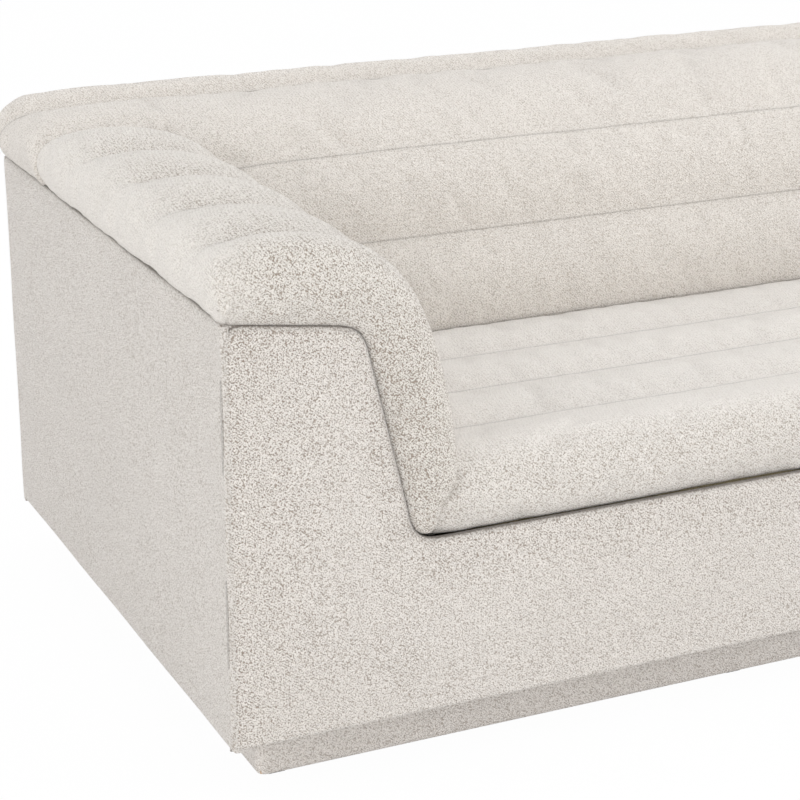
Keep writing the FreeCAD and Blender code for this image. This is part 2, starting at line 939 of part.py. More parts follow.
def make_back_foam():
    """A bent slab in front of the back's boards and over its top board, between the arms."""
    outer = back_inside(base_depth)
    wood = back_inside(wood_depth)
    top = arm_inside(wood_depth, deck)[1][1]
    slope = (wood[2][0] - wood[1][0]) / (wood[2][1] - wood[1][1])
    shelf = wood[2][0] + (top - wood[2][1]) * slope
    rear = along(size("casing_depth") - size("cover") - gap)
    knots = [
        (outer[0][0] + gap, outer[0][1]),
        (outer[1][0] + gap, outer[1][1]),
        (outer[2][0] + gap, outer[2][1]),
        (top_shelf() + gap, pad_base - gap),
        (rear, pad_base - gap),
        (rear, top + gap),
        (shelf, top + gap),
        (wood[2][0] - gap, wood[2][1]),
        (wood[1][0] - gap, wood[1][1]),
        (wood[0][0] - gap, wood[0][1]),
    ]
    keep(plate("back_foam", "YZ_Plane", -reach, reach * 2, knots), "back_foam")


def top_shelf():
    """Y where the back pad's inside turns from the slope to the level top."""
    return back_line(deck)[3][0] + size("shelf_setback")


def make_back_pad():
    """Two channels and a top roll along the back, and a rear roll that hangs over the casing."""
    foot = web_top + gap
    width = half + size("lip_overhang")
    rear_inner = along(size("casing_depth") - size("cover"))
    profile = back_line(foot) + [(rear_inner, lip_bottom), (rear_inner, foot)]
    along_back = plate("back_rolls_blank", "YZ_Plane", -width, width * 2, profile)
    half_top = arm_line(as_length(0), foot)[:2]
    level = (left(size("arm_top_start") + size("end_slope")), size("top_height"))
    ends = [(left(size("cover")), foot), (left(size("cover")), lip_bottom), half_top[0]]
    ends = ends + [(half_top[1][0], half_top[1][1], size("end_rise")), level]
    across = plate("back_ends_blank", "XZ_Plane", front, size("casing_depth") * 2, ends + mirrored_knots(ends))
    plan = new_body("back_plan_blank")
    back_edge = along(size("casing_depth") + size("rear_overhang"))
    add_pad(plan, "XY_Plane", foot, size("top_height"), rectangle(-width, front, width, back_edge))
    round_edges(plan, size("corner_round"), lambda limits: is_upright(limits) and limits.YMin > 0)
    common = doc.addObject("Part::MultiCommon", "back_common")
    common.Shapes = [along_back, across, plan]
    inside = back_inside(base_depth)
    hollow = [
        (inside[0][0], foot - base_depth),
        inside[0],
        inside[1],
        inside[2],
        (top_shelf(), pad_base),
        (rear_inner, pad_base),
        (rear_inner, foot - base_depth),
    ]
    inner_half = half - size("cover")
    cutter = plate("back_hollow", "YZ_Plane", -inner_half, inner_half * 2, hollow)
    arm = arm_line(-size("arm_clearance"), foot)
    far = size("lip_overhang") * 2
    above = size("top_height") + far
    below = foot - base_depth
    arm = [(left(-far), below), (left(-far), above), (arm[1][0], above)] + arm[1:] + [(arm[4][0], below)]
    left_arm = plate("left_arm_space", "XZ_Plane", along(0), top_roll_front + gap, arm)
    right_arm = doc.addObject("Part::Mirroring", "right_arm_space")
    right_arm.Source = left_arm
    right_arm.Normal = Vector(1, 0, 0)
    tools = doc.addObject("Part::MultiFuse", "back_cutters")
    tools.Shapes = [cutter, left_arm, right_arm]
    pad = doc.addObject("Part::Cut", "back_channel_pad")
    pad.Base = common
    pad.Tool = tools
    keep(pad, "back_channel_pad")


# Seat: a foam core on the webbing and a channelled pad with a front roll


def make_seat():
    cover = size("cover")
    pad = size("pad")
    lip = size("seat_lip_height")
    rear = along(size("seat_depth") - gap)
    edge = size("foam_edge")
    foot = web_top + gap
    core = [
        (along(cover + gap), foot),
        (along(cover + gap), lip - gap),
        (along(pad + gap), lip - gap),
        (along(pad + gap), foam_top - edge),
        (along(pad + gap + edge), foam_top),
        (rear, foam_top),
        (rear, foot),
    ]
    keep(plate("seat_foam_core", "YZ_Plane", -reach, reach * 2, core), "seat_foam_core")
    rise = size("channel_rise")
    pitch = size("seat_pitch")
    seams = [size("seat_depth") - pitch * place for place in (3, 2, 1)]
    top = [
        (along(-size("seat_nose")), lip, size("seat_lip_rise")),
        (along(size("seat_roll_start")), seat_valley, rise),
    ]
    top = top + [(along(seam), seat_valley, rise) for seam in seams]
    knots = top + [
        (rear, seat_valley),
        (rear, foam_top),
        (along(pad + gap + edge), foam_top),
        (along(pad), foam_top - edge),
        (along(pad), lip),
    ]
    keep(plate("seat_channel_pad", "YZ_Plane", -reach, reach * 2, knots), "seat_channel_pad")


make_plinth()
make_base()
make_webbing()
make_arm_frame()
make_arm_foam()
make_arm_pad()
make_covers()
make_back_frame()
make_back_foam()
make_back_pad()
make_seat()
doc.recompute()

for thing in doc.Objects:
    if "Invalid" in thing.State or "Error" in thing.State:
        raise RuntimeError(f"{thing.Label} failed: {thing.State}")
for node in nodes:
    if node.Shape.isNull() or not node.Shape.isValid() or not node.Shape.Solids:
        raise RuntimeError(f"{node.Label} has no valid solid")

os.makedirs("parts", exist_ok=True)
for node in nodes:
    node.Shape.exportStep(f"parts/{node.Label}.step")
print(len(nodes), "pieces")
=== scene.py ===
import math

import bpy
import numpy as np
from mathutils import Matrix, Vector


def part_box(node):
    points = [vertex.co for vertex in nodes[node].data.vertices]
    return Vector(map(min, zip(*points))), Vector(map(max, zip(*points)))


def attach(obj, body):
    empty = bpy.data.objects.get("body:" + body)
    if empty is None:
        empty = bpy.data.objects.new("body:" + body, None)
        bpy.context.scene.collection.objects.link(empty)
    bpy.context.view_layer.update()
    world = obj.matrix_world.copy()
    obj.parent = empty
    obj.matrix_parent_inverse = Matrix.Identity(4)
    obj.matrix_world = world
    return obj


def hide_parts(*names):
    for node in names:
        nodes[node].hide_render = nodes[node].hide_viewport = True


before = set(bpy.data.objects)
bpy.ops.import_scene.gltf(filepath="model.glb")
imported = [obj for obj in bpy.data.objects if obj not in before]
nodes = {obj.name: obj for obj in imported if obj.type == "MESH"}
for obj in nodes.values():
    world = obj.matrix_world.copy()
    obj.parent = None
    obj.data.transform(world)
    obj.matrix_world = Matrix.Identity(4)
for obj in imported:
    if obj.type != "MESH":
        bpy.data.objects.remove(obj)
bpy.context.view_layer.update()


def placed(name, data):
    """A new object that holds the data, in the scene."""
    made = bpy.data.objects.new(name, data)
    bpy.context.scene.collection.objects.link(made)
    return made


# The view: from in front of the seat, turned 24.8 degrees to the left arm's side and looking
# 19.6 degrees down, with a long lens, so that the left half of the sofa fills the picture.
camera = placed("camera", bpy.data.cameras.new("camera"))
camera.location = (-2.130, -3.0505, 1.541)
camera.rotation_euler = (math.radians(70.4), 0, math.radians(-24.8))
camera.data.sensor_width = 36
camera.data.lens = 102.47
camera.data.clip_end = 60
bpy.context.scene.camera = camera


# Glides: eight black nylon pads nailed under the plinth boards. The sofa stands on them,
# and the plinth's cloth, which comes down to the floor round them, hides them.
class Value:
    """A number that changes over a surface: one socket of a finish, on which sums are written."""

    def __init__(self, finish, socket):
        self.finish = finish
        self.socket = socket

    def sum(self, operation, first, second):
        return self.finish.node("ShaderNodeMath", {"operation": operation}, {0: first, 1: second})

    def __add__(self, other):
        return self.sum("ADD", self, other)

    __radd__ = __add__

    def __mul__(self, other):
        return self.sum("MULTIPLY", self, other)

    __rmul__ = __mul__

    def __sub__(self, other):
        return self.sum("SUBTRACT", self, other)

    def __rsub__(self, other):
        return self.sum("SUBTRACT", other, self)

    def __pow__(self, other):
        return self.sum("POWER", self, other)

    def between(self, low, high):
        """0 at low and 1 at high, with soft ends."""
        settings = {"interpolation_type": "SMOOTHSTEP", "clamp": True}
        return self.finish.node("ShaderNodeMapRange", settings, {0: self, 1: low, 2: high})


class Finish:
    """One material, made of nodes that are added by kind, settings and inputs. The world, where
    one is given, takes the material's place."""

    def __init__(self, name, world=None):
        self.material = world or bpy.data.materials.new(name)
        self.material.use_nodes = True
        self.tree = self.material.node_tree
        self.tree.nodes.clear()

    def node(self, kind, settings, inputs, output=0):
        made = self.tree.nodes.new(kind)
        for key, value in settings.items():
            setattr(made, key, value)
        for key, value in inputs.items():
            if isinstance(value, Value):
                self.tree.links.new(value.socket, made.inputs[key])
            else:
                made.inputs[key].default_value = value
        return Value(self, made.outputs[output]) if made.outputs else made

    def place(self, stretch=(1, 1, 1)):
        """The point on the piece, in metres, stretched along each axis."""
        point = self.node("ShaderNodeTexCoord", {}, {}, "Object")
        return self.node("ShaderNodeMapping", {}, {"Vector": point, "Scale": stretch})

    def noise(self, point, scale, detail=2.0, roughness=0.5):
        inputs = {"Vector": point, "Scale": scale, "Detail": detail, "Roughness": roughness}
        return self.node("ShaderNodeTexNoise", {}, inputs)

    def blend(self, share, first, second):
        """The colour that goes from the first to the second as share goes from 0 to 1."""
        inputs = {0: share, 6: self.colour(first), 7: self.colour(second)}
        return self.node("ShaderNodeMix", {"data_type": "RGBA"}, inputs, 2)

    def colour(self, value):
        return value if isinstance(value, Value) else (*value, 1)

    def relief(self, height, depth, strength=1.0):
        """The surface's tilt where it stands proud by height times depth, in metres."""
        inputs = {"Strength": strength, "Distance": depth, "Height": height}
        return self.node("ShaderNodeBump", {}, inputs)

    def done(self, inputs):
        """Ends the finish with one shader, whose sockets are given by name."""
        shader = self.node("ShaderNodeBsdfPrincipled", {}, inputs)
        self.node("ShaderNodeOutputMaterial", {}, {"Surface": shader})
        return self.material


def finish_nodes(material, *names):
    """Gives CAD nodes a better finish in the slots they have."""
    for name in names:
        for place in nodes[name].material_slots:
            place.material = material


nylon = Finish("glide_nylon")
scuffs = nylon.noise(nylon.place((1, 1, 0.2)), 220, 4)
black = nylon.blend(scuffs, (0.012, 0.012, 0.013), (0.045, 0.044, 0.042))
finish_nodes(nylon.done({
    "Base Color": black,
    "Roughness": 0.4 + scuffs * 0.3,
    "Normal": nylon.relief(scuffs, 0.0002),
}), "plinth_glides")


# Timber: the plinth, the battens, the rails and the back's top board are sawn pine, planed on
# four sides, glued and screwed. The grain runs along each board.
def timber_finish(name, stretch):
    """Pine: noise drawn out along the grain gives the rings, and finer noise the pores."""
    pine = Finish(name)
    rings = pine.noise(pine.place(stretch), 9, 3, 0.6)
    pores = pine.noise(pine.place([17 * each for each in stretch]), 12, 2)
    late = (rings * 7).sum("FRACT", rings * 7, 0).between(0.55, 0.98)
    wood = pine.blend(late * 0.8, (0.62, 0.44, 0.27), (0.43, 0.26, 0.13))
    wood = pine.blend(pores.between(0.52, 0.8) * 0.35, wood, (0.33, 0.2, 0.1))
    return pine.done({
        "Base Color": wood,
        "Roughness": 0.62 + late * 0.12,
        "Normal": pine.relief(late * 0.6 + pores * 0.4, 0.0004),
    })


finish_nodes(
    timber_finish("pine_along_width", (0.5, 8, 8)),
    "plinth_front_board", "plinth_back_board", "seat_front_rail", "deck_back_rail",
    "rear_bottom_rail", "corner_blocks", "back_top_board",
)
finish_nodes(
    timber_finish("pine_along_depth", (8, 0.5, 8)),
    "left_plinth_board", "right_plinth_board", "left_plinth_brace", "right_plinth_brace",
    "left_side_rail", "right_side_rail", "left_arm_stretcher", "right_arm_stretcher",
    "left_cross_rail", "right_cross_rail",
    *[f"base_batten_{count}" for count in range(1, 7)],
)


# Ribs and arm panels: poplar plywood cut to the arm's and the back's outline, glued to the
# rails. Its face shows a calm figure and its edges the layers.
def plywood_finish(name, stretch):
    """Plywood: wide rings on the face, and thin even bands where the layers come to an edge."""
    ply = Finish(name)
    figure = ply.noise(ply.place(stretch), 6, 4, 0.55)
    layers = ply.node("ShaderNodeTexWave", {"bands_direction": "X", "wave_profile": "SIN"}, {
        "Vector": ply.place((1, 1, 0.02)), "Scale": 90, "Distortion": 0.4,
    }, 1)
    wood = ply.blend(figure.between(0.35, 0.7), (0.66, 0.52, 0.36), (0.5, 0.37, 0.23))
    wood = ply.blend(layers * 0.22, wood, (0.3, 0.2, 0.12))
    return ply.done({
        "Base Color": wood, "Roughness": 0.55 + figure * 0.15,
        "Normal": ply.relief(figure + layers * 0.3, 0.0003),
    })


finish_nodes(
    plywood_finish("plywood_upright", (9, 9, 0.8)),
    "left_arm_front_panel", "right_arm_front_panel", "left_arm_rib", "right_arm_rib",
    "left_end_rib", "right_end_rib", "back_rib_1", "back_rib_2", "back_rib_3", "back_rib_4",
)


# Hardboard: thin brown pressed-fibre sheets stapled over the ribs, smooth on the face that
# the foam is glued to. They give the arms and the back their flat walls and the arms their tops.
hardboard = Finish("hardboard")
fibres = hardboard.noise(hardboard.place(), 420, 4, 0.7)
patches = hardboard.noise(hardboard.place(), 5, 2)
brown = hardboard.blend(fibres, (0.2, 0.12, 0.065), (0.36, 0.23, 0.13))
brown = hardboard.blend(patches * 0.3, brown, (0.27, 0.17, 0.1))
finish_nodes(
    hardboard.done({
        "Base Color": brown, "Roughness": 0.5 + fibres * 0.25,
        "Normal": hardboard.relief(fibres, 0.0002),
    }),
    "left_arm_top_board", "right_arm_top_board", "left_arm_inner_board",
    "right_arm_inner_board", "left_arm_outer_board", "right_arm_outer_board",
    "back_inner_board", "back_outer_board",
)


# Dust cover: thin black spun cloth stapled under the base, which keeps dust out of the
# frame. Its web of pressed fibres shows as a small even pattern of dots.
spun = Finish("dust_cloth")
web = spun.noise(spun.place(), 900, 5, 0.75)
dots = spun.node("ShaderNodeTexVoronoi", {"feature": "F1"}, {
    "Vector": spun.place(), "Scale": 550, "Randomness": 0.15,
})
charcoal = spun.blend(web, (0.018, 0.018, 0.02), (0.075, 0.073, 0.07))
finish_nodes(spun.done({
    "Base Color": charcoal, "Roughness": 0.8 + web * 0.15,
    "Normal": spun.relief(dots + web * 0.5, 0.0003),
}), "dust_cover")


# Webbing: elastic bands 60 mm wide, woven over and under each other and stapled to the
# rails. Warp threads run along each band, with two brown stripes.
def webbing_finish(name, across, along):
    """Elastic webbing: fine ribs across the band and finer threads along it."""
    band = Finish(name)
    ribs = band.node("ShaderNodeTexWave", {"bands_direction": along, "wave_profile": "SIN"}, {
        "Vector": band.place(), "Scale": 130, "Distortion": 0.3, "Detail": 1,
    }, 1)
    threads = band.node("ShaderNodeTexWave", {"bands_direction": across, "wave_profile": "SIN"}, {
        "Vector": band.place(), "Scale": 260, "Distortion": 0.2,
    }, 1)
    weave = ribs * 0.6 + threads * 0.4
    jute = band.blend(weave, (0.2, 0.13, 0.07), (0.58, 0.45, 0.29))
    jute = band.blend(band.noise(band.place(), 60, 3) * 0.35, jute, (0.4, 0.29, 0.17))
    return band.done({
        "Base Color": jute, "Roughness": 0.75 + weave * 0.15,
        "Normal": band.relief(weave, 0.0009),
    })


finish_nodes(webbing_finish("webbing_lengthwise", "Y", "X"), "seat_webbing_lengthwise")
finish_nodes(webbing_finish("webbing_front_to_rear", "X", "Y"), "seat_webbing_front_to_rear")


# Foam blocks: firm yellowish polyurethane foam. One slab lies on the seat's webbing, and
# sheets of it are glued over the boards of the arms and the back, under the channelled pads.
casing_low, casing_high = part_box("front_cover")
half = casing_high.x
casing_front = casing_low.y
top_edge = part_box("left_side_cover")[1].z
foot_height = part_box("back_foam")[0].z


def arcs(knots, step, gather=0.0):
    """Points along a chain of circular arcs. A knot is (first, second, rise): the arc that
    leaves it reaches the next knot and bulges by rise to the left of its chord. With c the
    half chord and h the rise, its radius is (c^2 + h^2) / 2h. The points keep equal angles,
    or draw together towards the arc's ends as gather goes to 1."""
    points = [np.array([knots[0][:2]], float)]
    ends = [0]
    for start, end in zip(knots[:-1], knots[1:]):
        a, b = np.array(start[:2], float), np.array(end[:2], float)
        rise = start[2]
        chord = np.linalg.norm(b - a)
        count = max(2, int(round(chord / step)))
        share = np.arange(1, count + 1) / count
        share = (1 - gather) * share + gather * (1 - np.cos(math.pi * share)) / 2
        if abs(rise) < 1e-6:
            run = a + (b - a) * share[:, None]
        else:
            radius = (chord ** 2 / 4 + rise ** 2) / (2 * rise)
            swing = 2 * math.atan2(2 * rise, chord)
            angle = swing * (2 * share - 1)
            ahead = (b - a) / chord
            aside = np.array([-ahead[1], ahead[0]])
            lift = radius * (np.cos(angle) - math.cos(swing))
            reach = chord / 2 + radius * np.sin(angle)
            run = a + reach[:, None] * ahead + lift[:, None] * aside
        points.append(run)
        ends.append(ends[-1] + count)
    return np.concatenate(points), ends


def eased(points, rounds, held=()):
    """Softens a line's corners: each point moves halfway to the middle of its neighbours,
    round after round, but the line's ends and the held points stay."""
    points = points.copy()
    still = np.zeros(len(points), bool)
    still[[0, -1, *held]] = True
    for _ in range(rounds):
        middle = points.copy()
        middle[1:-1] = (points[:-2] + points[2:]) / 2
        points = np.where(still[:, None], points, (points + middle) / 2)
    return points


def travelled(points):
    """How far along the line each of its points lies."""
    steps = np.linalg.norm(np.diff(points, axis=0), axis=1)
    return np.concatenate([[0], np.cumsum(steps)])


def outward(points):
    """The unit normal to the left of the line at each point."""
    ahead = np.gradient(points, axis=0)
    ahead /= np.linalg.norm(ahead, axis=1)[:, None]
    return np.stack([-ahead[:, 1], ahead[:, 0]], 1)


def grid_normals(grid):
    """The unit normal at each point of a grid: its row direction crossed with its column one."""
    down, across = np.gradient(grid, axis=0), np.gradient(grid, axis=1)
    normal = np.cross(down, across)
    return normal / np.maximum(np.linalg.norm(normal, axis=2), 1e-12)[..., None]


def grid_cells(rows, columns, kept=None, wrapped=False):
    """The four corners of every kept cell of a grid, as point numbers. A wrapped grid's last
    column is its first one again."""
    number = np.arange(rows * columns).reshape(rows, columns)
    if wrapped:
        number[:, -1] = number[:, 0]
    cells = np.stack([number[:-1, :-1], number[1:, :-1], number[1:, 1:], number[:-1, 1:]], -1)
    return cells.reshape(-1, 4) if kept is None else cells[kept]


def soft_shell(name, outer, inner, kept=None, turned=False, wrapped=False, marks=None):
    """A closed skin between two grids of the same size. The outer cells face out, the inner
    ones are the same cells turned round, and a strip of cells joins them along each free edge.
    Marks are numbers for each point of the grid, which the cloth's finish reads by name."""
    rows, columns = outer.shape[:2]
    total = rows * columns
    cells = grid_cells(rows, columns, kept, wrapped)
    if turned:
        cells = cells[:, ::-1]
    edges = cells[:, [0, 1, 1, 2, 2, 3, 3, 0]].reshape(-1, 2)
    code = edges[:, 0] * total + edges[:, 1]
    free = edges[~np.isin(code, edges[:, 1] * total + edges[:, 0])]
    strip = np.stack([free[:, 1], free[:, 0], free[:, 0] + total, free[:, 1] + total], 1)
    faces = np.concatenate([cells, cells[:, ::-1] + total, strip])
    points = np.concatenate([outer.reshape(-1, 3), inner.reshape(-1, 3)])
    used, faces = np.unique(faces, return_inverse=True)
    mesh = bpy.data.meshes.new(name)
    mesh.from_pydata(points[used].tolist(), [], faces.reshape(-1, 4).tolist())
    for mark, numbers in (marks or {}).items():
        numbers = np.tile(np.broadcast_to(numbers, outer.shape[:2]).reshape(-1), 2)[used]
        values = mesh.attributes.new(mark, "FLOAT", "POINT").data
        values.foreach_set("value", numbers.astype(np.float32))
    mesh.update()
    return placed(name, mesh)


def from_seams(grid, rows=(), columns=()):
    """How far each point of a grid lies, along the cloth, from the nearest sewn row or column."""
    nearest = np.full(grid.shape[:2], 1.0)
    for axis, sewn in ((0, rows), (1, columns)):
        steps = np.linalg.norm(np.diff(grid, axis=axis), axis=2)
        way = np.insert(np.cumsum(steps, axis=axis), 0, 0, axis=axis)
        for place in sewn:
            nearest = np.minimum(nearest, np.abs(way - np.take(way, [place], axis=axis)))
    return nearest


def finish_soft(piece, material, slot, levels, *replaced):
    """Smooth faces, rounds of subdivision, the finish in a new slot and the CAD nodes it stands
    for. The slot argument is not used.
    """
    piece.data.polygons.foreach_set("use_smooth", np.ones(len(piece.data.polygons), bool))
    piece.data.materials.append(material)
    if levels:
        rounding = piece.modifiers.new("rounding", "SUBSURF")
        rounding.levels = levels
        rounding.render_levels = levels
    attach(piece, "root")
    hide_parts(*replaced)
    return piece


def mirrored(grid):
    """The same grid for the right-hand side."""
    return grid * np.array([-1, 1, 1])


foam = Finish("open_cell_foam")
cell = foam.node("ShaderNodeTexVoronoi", {"feature": "F1"}, {
    "Vector": foam.place(), "Scale": 700, "Randomness": 1.0,
})
cloud = foam.noise(foam.place(), 6, 2)
yellow = foam.blend(cell.between(0.1, 0.7), (0.42, 0.33, 0.17), (0.82, 0.73, 0.5))
yellow = foam.blend(cloud * 0.3, yellow, (0.74, 0.62, 0.37))
foam_finish = foam.done({
    "Base Color": yellow, "Roughness": 0.85, "Normal": foam.relief(cell, 0.0006),
})

# the lines are (distance from the side or behind the front, height, rise of the next arc)
SHOULDER = 0.201
SHOULDER_HEIGHT = 0.758
ARM_CROWN = [
    (0.0, top_edge, 0.028), (0.005, 0.770, 0.016), (SHOULDER, SHOULDER_HEIGHT, 0.009),
    (0.286, 0.675, 0.025), (0.341, foot_height, 0),
]
BACK_CROWN = [
    (0.540, foot_height, 0.0), (0.540, 0.438, 0.022), (0.600, 0.577, 0.022),
    (0.680, 0.701, 0.047), (0.946, 0.755, 0.029), (1.018, 0.776, 0.024), (1.000, top_edge, 0),
]


def foam_sheet(name, line, inset, thickness, start, end, across, node, turned):
    """A foam sheet bent round boards: the line moved in by inset, and again by the sheet's
    thickness, both carried straight from start to end."""
    line = eased(line, 12)
    far, near = line - outward(line) * (inset + thickness), line - outward(line) * inset
    along = np.linspace(start, end, 25)
    faces = []
    for profile in (near, far):
        grid = np.zeros((len(profile), len(along), 3))
        if across == "Y":
            grid[..., 0] = -half + profile[:, None, 0]
            grid[..., 1] = casing_front + along[None, :]
        else:
            grid[..., 0] = along[None, :]
            grid[..., 1] = casing_front + profile[:, None, 0]
        grid[..., 2] = profile[:, None, 1]
        faces.append(grid)
    if node == "right_arm_foam":
        faces = [mirrored(grid) for grid in faces]
    sheet = soft_shell(name, faces[0], faces[1], turned=turned)
    finish_soft(sheet, foam_finish, "foam", 1, node)


WADDING = 0.034
FOAM = 0.022
arm_foam_line = arcs(ARM_CROWN, 0.011)[0][4:-3]
for side, turned in (("left", False), ("right", True)):
    foam_sheet(f"{side}_arm_foam_sheet", arm_foam_line, WADDING, FOAM, 0.02, 0.76, "Y",
               f"{side}_arm_foam", turned)
back_line, back_ends = arcs(BACK_CROWN, 0.011)
back_foam_line = back_line[back_ends[1] - 8:back_ends[4] - 4]
foam_sheet("back_foam_sheet", back_foam_line, WADDING, FOAM, -0.79, 0.79, "X", "back_foam", True)

foam_low, foam_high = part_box("seat_foam_core")
core_size = np.array(foam_high - foam_low) * (1, 0.95, 1)
core_middle = np.array(foam_high + foam_low) / 2
turn = np.linspace(-math.pi, math.pi, 97)[None, :]
rise = np.linspace(-math.pi / 2, math.pi / 2, 33)[:, None]


def block_point(angle, power):
    """A cosine or sine flattened towards its ends, so that a ball becomes a block."""
    return np.sign(angle) * np.abs(angle) ** power


BLOCK = 0.16
core = np.stack(np.broadcast_arrays(
    block_point(np.cos(rise), BLOCK) * block_point(np.cos(turn), BLOCK),
    block_point(np.cos(rise), BLOCK) * block_point(np.sin(turn), BLOCK),
    block_point(np.sin(rise), BLOCK),
), -1) * core_size / 2 + core_middle


def ball_mesh(name, grid):
    """A closed ball of cells from a grid whose last column is its first one again: one flat face
    closes it across its second row and one across its second-last row, and its first and last rows
    stay out of the faces."""
    rows, columns = grid.shape[:2]
    number = np.arange(rows * (columns - 1)).reshape(rows, columns - 1)
    number = np.concatenate([number, number[:, :1]], 1)
    cells = np.stack([number[:-1, :-1], number[:-1, 1:], number[1:, 1:], number[1:, :-1]], -1)
    middle = cells[1:-1].reshape(-1, 4)
    bottom, top = number[1, :-1], number[-2, :-1]
    faces = middle.tolist() + [bottom[::-1].tolist(), top.tolist()]
    mesh = bpy.data.meshes.new(name)
    mesh.from_pydata(grid[:, :-1].reshape(-1, 3).tolist(), [], faces)
    mesh.update()
    return placed(name, mesh)


seat_core = ball_mesh("seat_foam_slab", core)
finish_soft(seat_core, foam_finish, "foam", 0, "seat_foam_core")


# Plinth cover: the same looped cloth, pulled round the plinth boards and stapled under
# them. It is set back under the sofa, in shade. Its crest colour is painted lighter than the
# side panels', painted light that makes up for that shade, tinted the pinker way the shaded cloth
# looks.
def boucle_finish(name, crest, gap_shade_colour, gap_shade_strength, depth, seam_shade_strength=0.35):
    """Looped cloth. Wandering noise bends the point before two sizes of cell are laid on it,
    about 2.2 mm and 1.2 mm apart: the loops are the cells' middles and the spaces between them
    their edges. A slanting rib of the ground weave shows through. The spaces between the loops
    are painted dark, a painted shade for the shade that falls into them. Each piece has its own
    strength of it, set by how the light falls on that piece, and it is strongest where the point's
    shade share mark is high. Slow noise varies the whole cloth. Near each seam, by its seam mark,
    the distance to the nearest seam, painted shade darkens the cloth, and a ragged dark line of
    painted shade lies in the seam's crease."""
    cloth = Finish(name)
    point = cloth.place()
    bend = cloth.node("ShaderNodeTexNoise", {}, {"Vector": point, "Scale": 230, "Detail": 2}, 1)
    bend = cloth.node("ShaderNodeVectorMath", {"operation": "MULTIPLY_ADD"}, {
        0: bend, 1: (0.0028, 0.0028, 0.0028), 2: point,
    })
    loops = cloth.node("ShaderNodeTexVoronoi", {"feature": "F1"}, {
        "Vector": bend, "Scale": 450, "Randomness": 1.0,
    })
    curls = cloth.node("ShaderNodeTexVoronoi", {"feature": "F1"}, {
        "Vector": bend, "Scale": 820, "Randomness": 1.0,
    })
    strands = cloth.noise(bend, 1000, 3, 0.7)
    slant = cloth.node("ShaderNodeMapping", {}, {"Vector": point, "Rotation": (0.6, 0.75, 0.6)})
    ribs = cloth.node("ShaderNodeTexWave", {"bands_direction": "X", "wave_profile": "SIN"}, {
        "Vector": slant, "Scale": 95, "Distortion": 2.5, "Detail": 2, "Detail Scale": 3,
    }, 1)
    height = (1 - loops) * 0.52 + (1 - curls) * 0.28 + strands * 0.12 + ribs * 0.08
    gap_shade_share = cloth.node("ShaderNodeAttribute", {"attribute_name": "gap_shade_share"}, {}, "Fac")
    seam = cloth.node("ShaderNodeAttribute", {"attribute_name": "seam"}, {}, "Fac")
    open_gap = 1 - height.between(0.29, 0.57)
    seam = seam.sum("ABSOLUTE", seam, 0)
    slow = cloth.noise(point, 7, 3)
    knots = cloth.noise(point, 46, 2)
    yarn_and_shade = cloth.blend(slow.between(0.3, 0.7) * 0.5 + knots.between(0.4, 0.65) * 0.4, crest,
                       [each * 0.955 for each in crest])
    # Painted shade: the spaces between the loops are darkened towards a dark brown, by the piece's
    # strength and the point's share mark, standing in for the shade that falls into them.
    yarn_and_shade = cloth.blend(open_gap * gap_shade_share * gap_shade_strength, yarn_and_shade, gap_shade_colour)
    ragged = cloth.noise(point, 260, 3, 0.7)
    # Painted shade at the seams: the cloth darkens towards half its colour within 12 mm of a seam,
    # and a ragged dark brown line of painted shade lies in the seam's crease.
    shade = 1 - (seam + ragged * 0.005).between(0.0015, 0.0120)
    line = 1 - (seam + ragged * 0.003).between(0.0016, 0.0038)
    yarn_and_shade = cloth.blend(shade * 0.5 * seam_shade_strength, yarn_and_shade, [each * 0.5 for each in crest])
    yarn_and_shade = cloth.blend(line * seam_shade_strength, yarn_and_shade, (0.13, 0.10, 0.075))
    return cloth.done({
        "Base Color": yarn_and_shade,
        "Roughness": 0.82 + open_gap * 0.12,
        "Sheen Weight": 0.45,
        "Sheen Roughness": 0.5,
        "Sheen Tint": (1, 0.985, 0.96, 1),
        "Normal": cloth.relief(height, depth),
    })


plinth_cloth = boucle_finish(
    "plinth_boucle", crest=(0.90, 0.845, 0.79), gap_shade_colour=(0.36, 0.30, 0.25), gap_shade_strength=0.8, depth=0.0026,
)
plinth_low, plinth_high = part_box("plinth_cover")
PLINTH_ROUND = 0.014
PLINTH_START = 0.0004
TUCK = 0.0015
SWELL = 0.0012


def ring(low, high, round_edge, steps):
    """Points round a rectangle with rounded corners, anticlockwise seen from above: each
    corner is a quarter circle, and the sides between are cut into short runs."""
    right, left = high.x - round_edge, low.x + round_edge
    rear, front = high.y - round_edge, low.y + round_edge
    centres = [(right, front, -90), (right, rear, 0), (left, rear, 90), (left, front, 180)]
    corner = [
        np.stack([x + round_edge * np.cos(turns), y + round_edge * np.sin(turns)], 1)
        for x, y, first in centres
        for turns in [np.radians(first + np.linspace(0, 90, 9))]
    ]
    runs = []
    for here, after in zip(corner, corner[1:] + corner[:1]):
        share = np.linspace(0, 1, steps)[1:-1, None]
        runs += [here, here[-1] * (1 - share) + after[0] * share]
    return np.concatenate(runs + [corner[0][:1]])


plinth_ring = ring(plinth_low, plinth_high, PLINTH_ROUND, 40)
ring_normal = -outward(plinth_ring)
ring_normal[[0, -1]] = (0, -1)
plinth_rise = np.linspace(0, 1, 11)
tuck_in = TUCK * np.clip(1 - plinth_rise / 0.12, 0, 1) ** 2 - SWELL * np.sin(math.pi * plinth_rise)
plinth_outer = np.zeros((len(plinth_rise), len(plinth_ring), 3))
plinth_outer[..., :2] = plinth_ring[None] - ring_normal[None] * tuck_in[:, None, None]
plinth_outer[..., 2] = (PLINTH_START + (plinth_high.z - PLINTH_START) * plinth_rise)[:, None]
plinth_inner = plinth_outer.copy()
plinth_inner[..., :2] = plinth_ring[None] - ring_normal[None] * 0.0075

